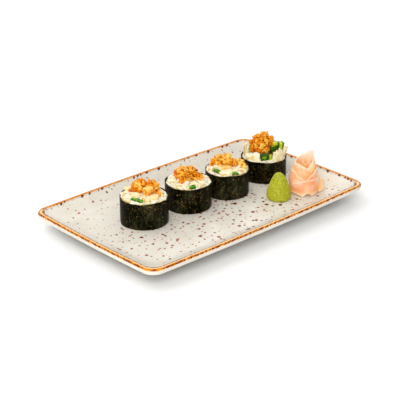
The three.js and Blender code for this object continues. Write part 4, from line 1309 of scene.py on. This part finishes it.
def tail_surface(t, s):
    """The loose slice at the side of the rose follows a curve on the dish."""
    z = height_at(TAIL, t, s)
    a, b, c = TAIL["line"]
    spot = (a * (1 - t) ** 2 + b * 2 * t * (1 - t) + c * t ** 2) * (1 - TAIL["lean"] * z / max(TAIL["top"]))
    return spot.x, spot.y, z


def heart_surface(t, s):
    """The slice in the middle is rolled up: its radius shrinks as it turns."""
    angle = math.radians(-60 + 620 * t)
    radius = 4.2 - 3.0 * t
    height = 14 + 1.5 * math.sin(angle + 1)
    return radius * math.sin(angle) + 0.7, -radius * math.cos(angle), 8 + height * s


surfaces = [(spec, slice_surface(spec), round((spec["arc"][1] - spec["arc"][0]) / 3)) for spec in SLICES]
surfaces.append((TAIL, tail_surface, 24))
print("slices of ginger:", len(surfaces))

# %% [markdown]
# Pickled ginger is so thin that light comes through it from behind, and a faint glow of its
# own colour stands for that light. The rim of a slice is pale, and so is the skin near its foot.


# %% Ginger rose
def ginger_finish(name, glow):
    """Thin pickled flesh. `glow` stands for the light that comes through from behind."""
    ginger = Finish(name, Roughness=0.28, Specular_IOR_Level=0.2, Emission_Strength=glow)
    ginger.soften(0.2, 0.5, (1.0, 0.8, 0.65))
    height = ginger.attribute("upward")
    level = ginger.add("ShaderNodeSeparateXYZ", Vector=ginger.object_place()).outputs["Z"]
    blush = ginger.noise(9, detail=3)
    outer = ginger.ramp(blush, (0.36, 251, 204, 172), (0.5, 250, 184, 142),
                        (0.66, 249, 164, 112))
    # Painted shade: the inner folds turn a deeper orange lower down in the rose.
    sunken = ginger.plus(ginger.range(level, 27, 39, 0.95, 0.0), ginger.range(blush, 0.3, 0.7, -0.1, 0.1))
    folded = ginger.ramp(sunken, (0.05, 247, 226, 200), (0.45, 252, 207, 142),
                         (0.9, 254, 186, 76))
    flesh = ginger.mix(ginger.attribute("inner"), outer, folded)
    # Painted light on the loose tail slice: paler where it is lit.
    flesh = ginger.mix(ginger.attribute("pale"), flesh, rgb(246, 214, 172))
    flesh = ginger.mix(ginger.range(height, 0.1, 0.26, 0.75, 0), flesh, rgb(250, 212, 160))
    rim = ginger.math("MAXIMUM", ginger.range(height, 0.9, 0.98), ginger.range(height, 0.02, 0.1, 1, 0))
    ginger.bump(ginger.noise(1.6, detail=3, stretch=(1, 1, 0.25)), 0.14, 0.4)
    flesh = ginger.mix(ginger.times(rim, 0.75), flesh, rgb(250, 226, 202))
    ginger.set(ginger.shader, "Emission Color", flesh)
    return ginger.colour(flesh)


pickled_ginger = ginger_finish("pickled_ginger", 0.05)
thin_ginger = ginger_finish("thin_ginger", 0.1)
for index, (spec, surface, columns) in enumerate(surfaces, 1):
    bm = bent_sheet(columns, 22, surface, ROSE["slice"])
    if spec is SLICES[-1]:
        bm.from_mesh(shape_from(bent_sheet(90, 12, heart_surface, ROSE["slice"])))
    inner = bm.verts.layers.float.new("inner")
    pale = bm.verts.layers.float.new("pale")
    across = bm.verts.layers.float["across"]
    bm.normal_update()
    for vert in bm.verts:
        outside = vert.normal.xy.dot(vert.co.xy) > 0
        vert[inner] = spec.get("outside", spec["inner"]) if outside else spec["inner"]
        # Painted light and shade on the tail: pale where it is lit, and its darker usual colour near its end,
        # which lies in shade.
        vert[pale] = min(0.95, 5 - 5 * vert[across]) if spec is TAIL else 0
    roughen(bm, 0.16, 2.4, index)
    stand(bm, place(ROSE["x"], ROSE["y"]))
    finish = thin_ginger if spec["inner"] > 0.5 else pickled_ginger
    piece_from(bm, f"ginger_slice_{index}", finish, hides=[f"ginger_{index}"])
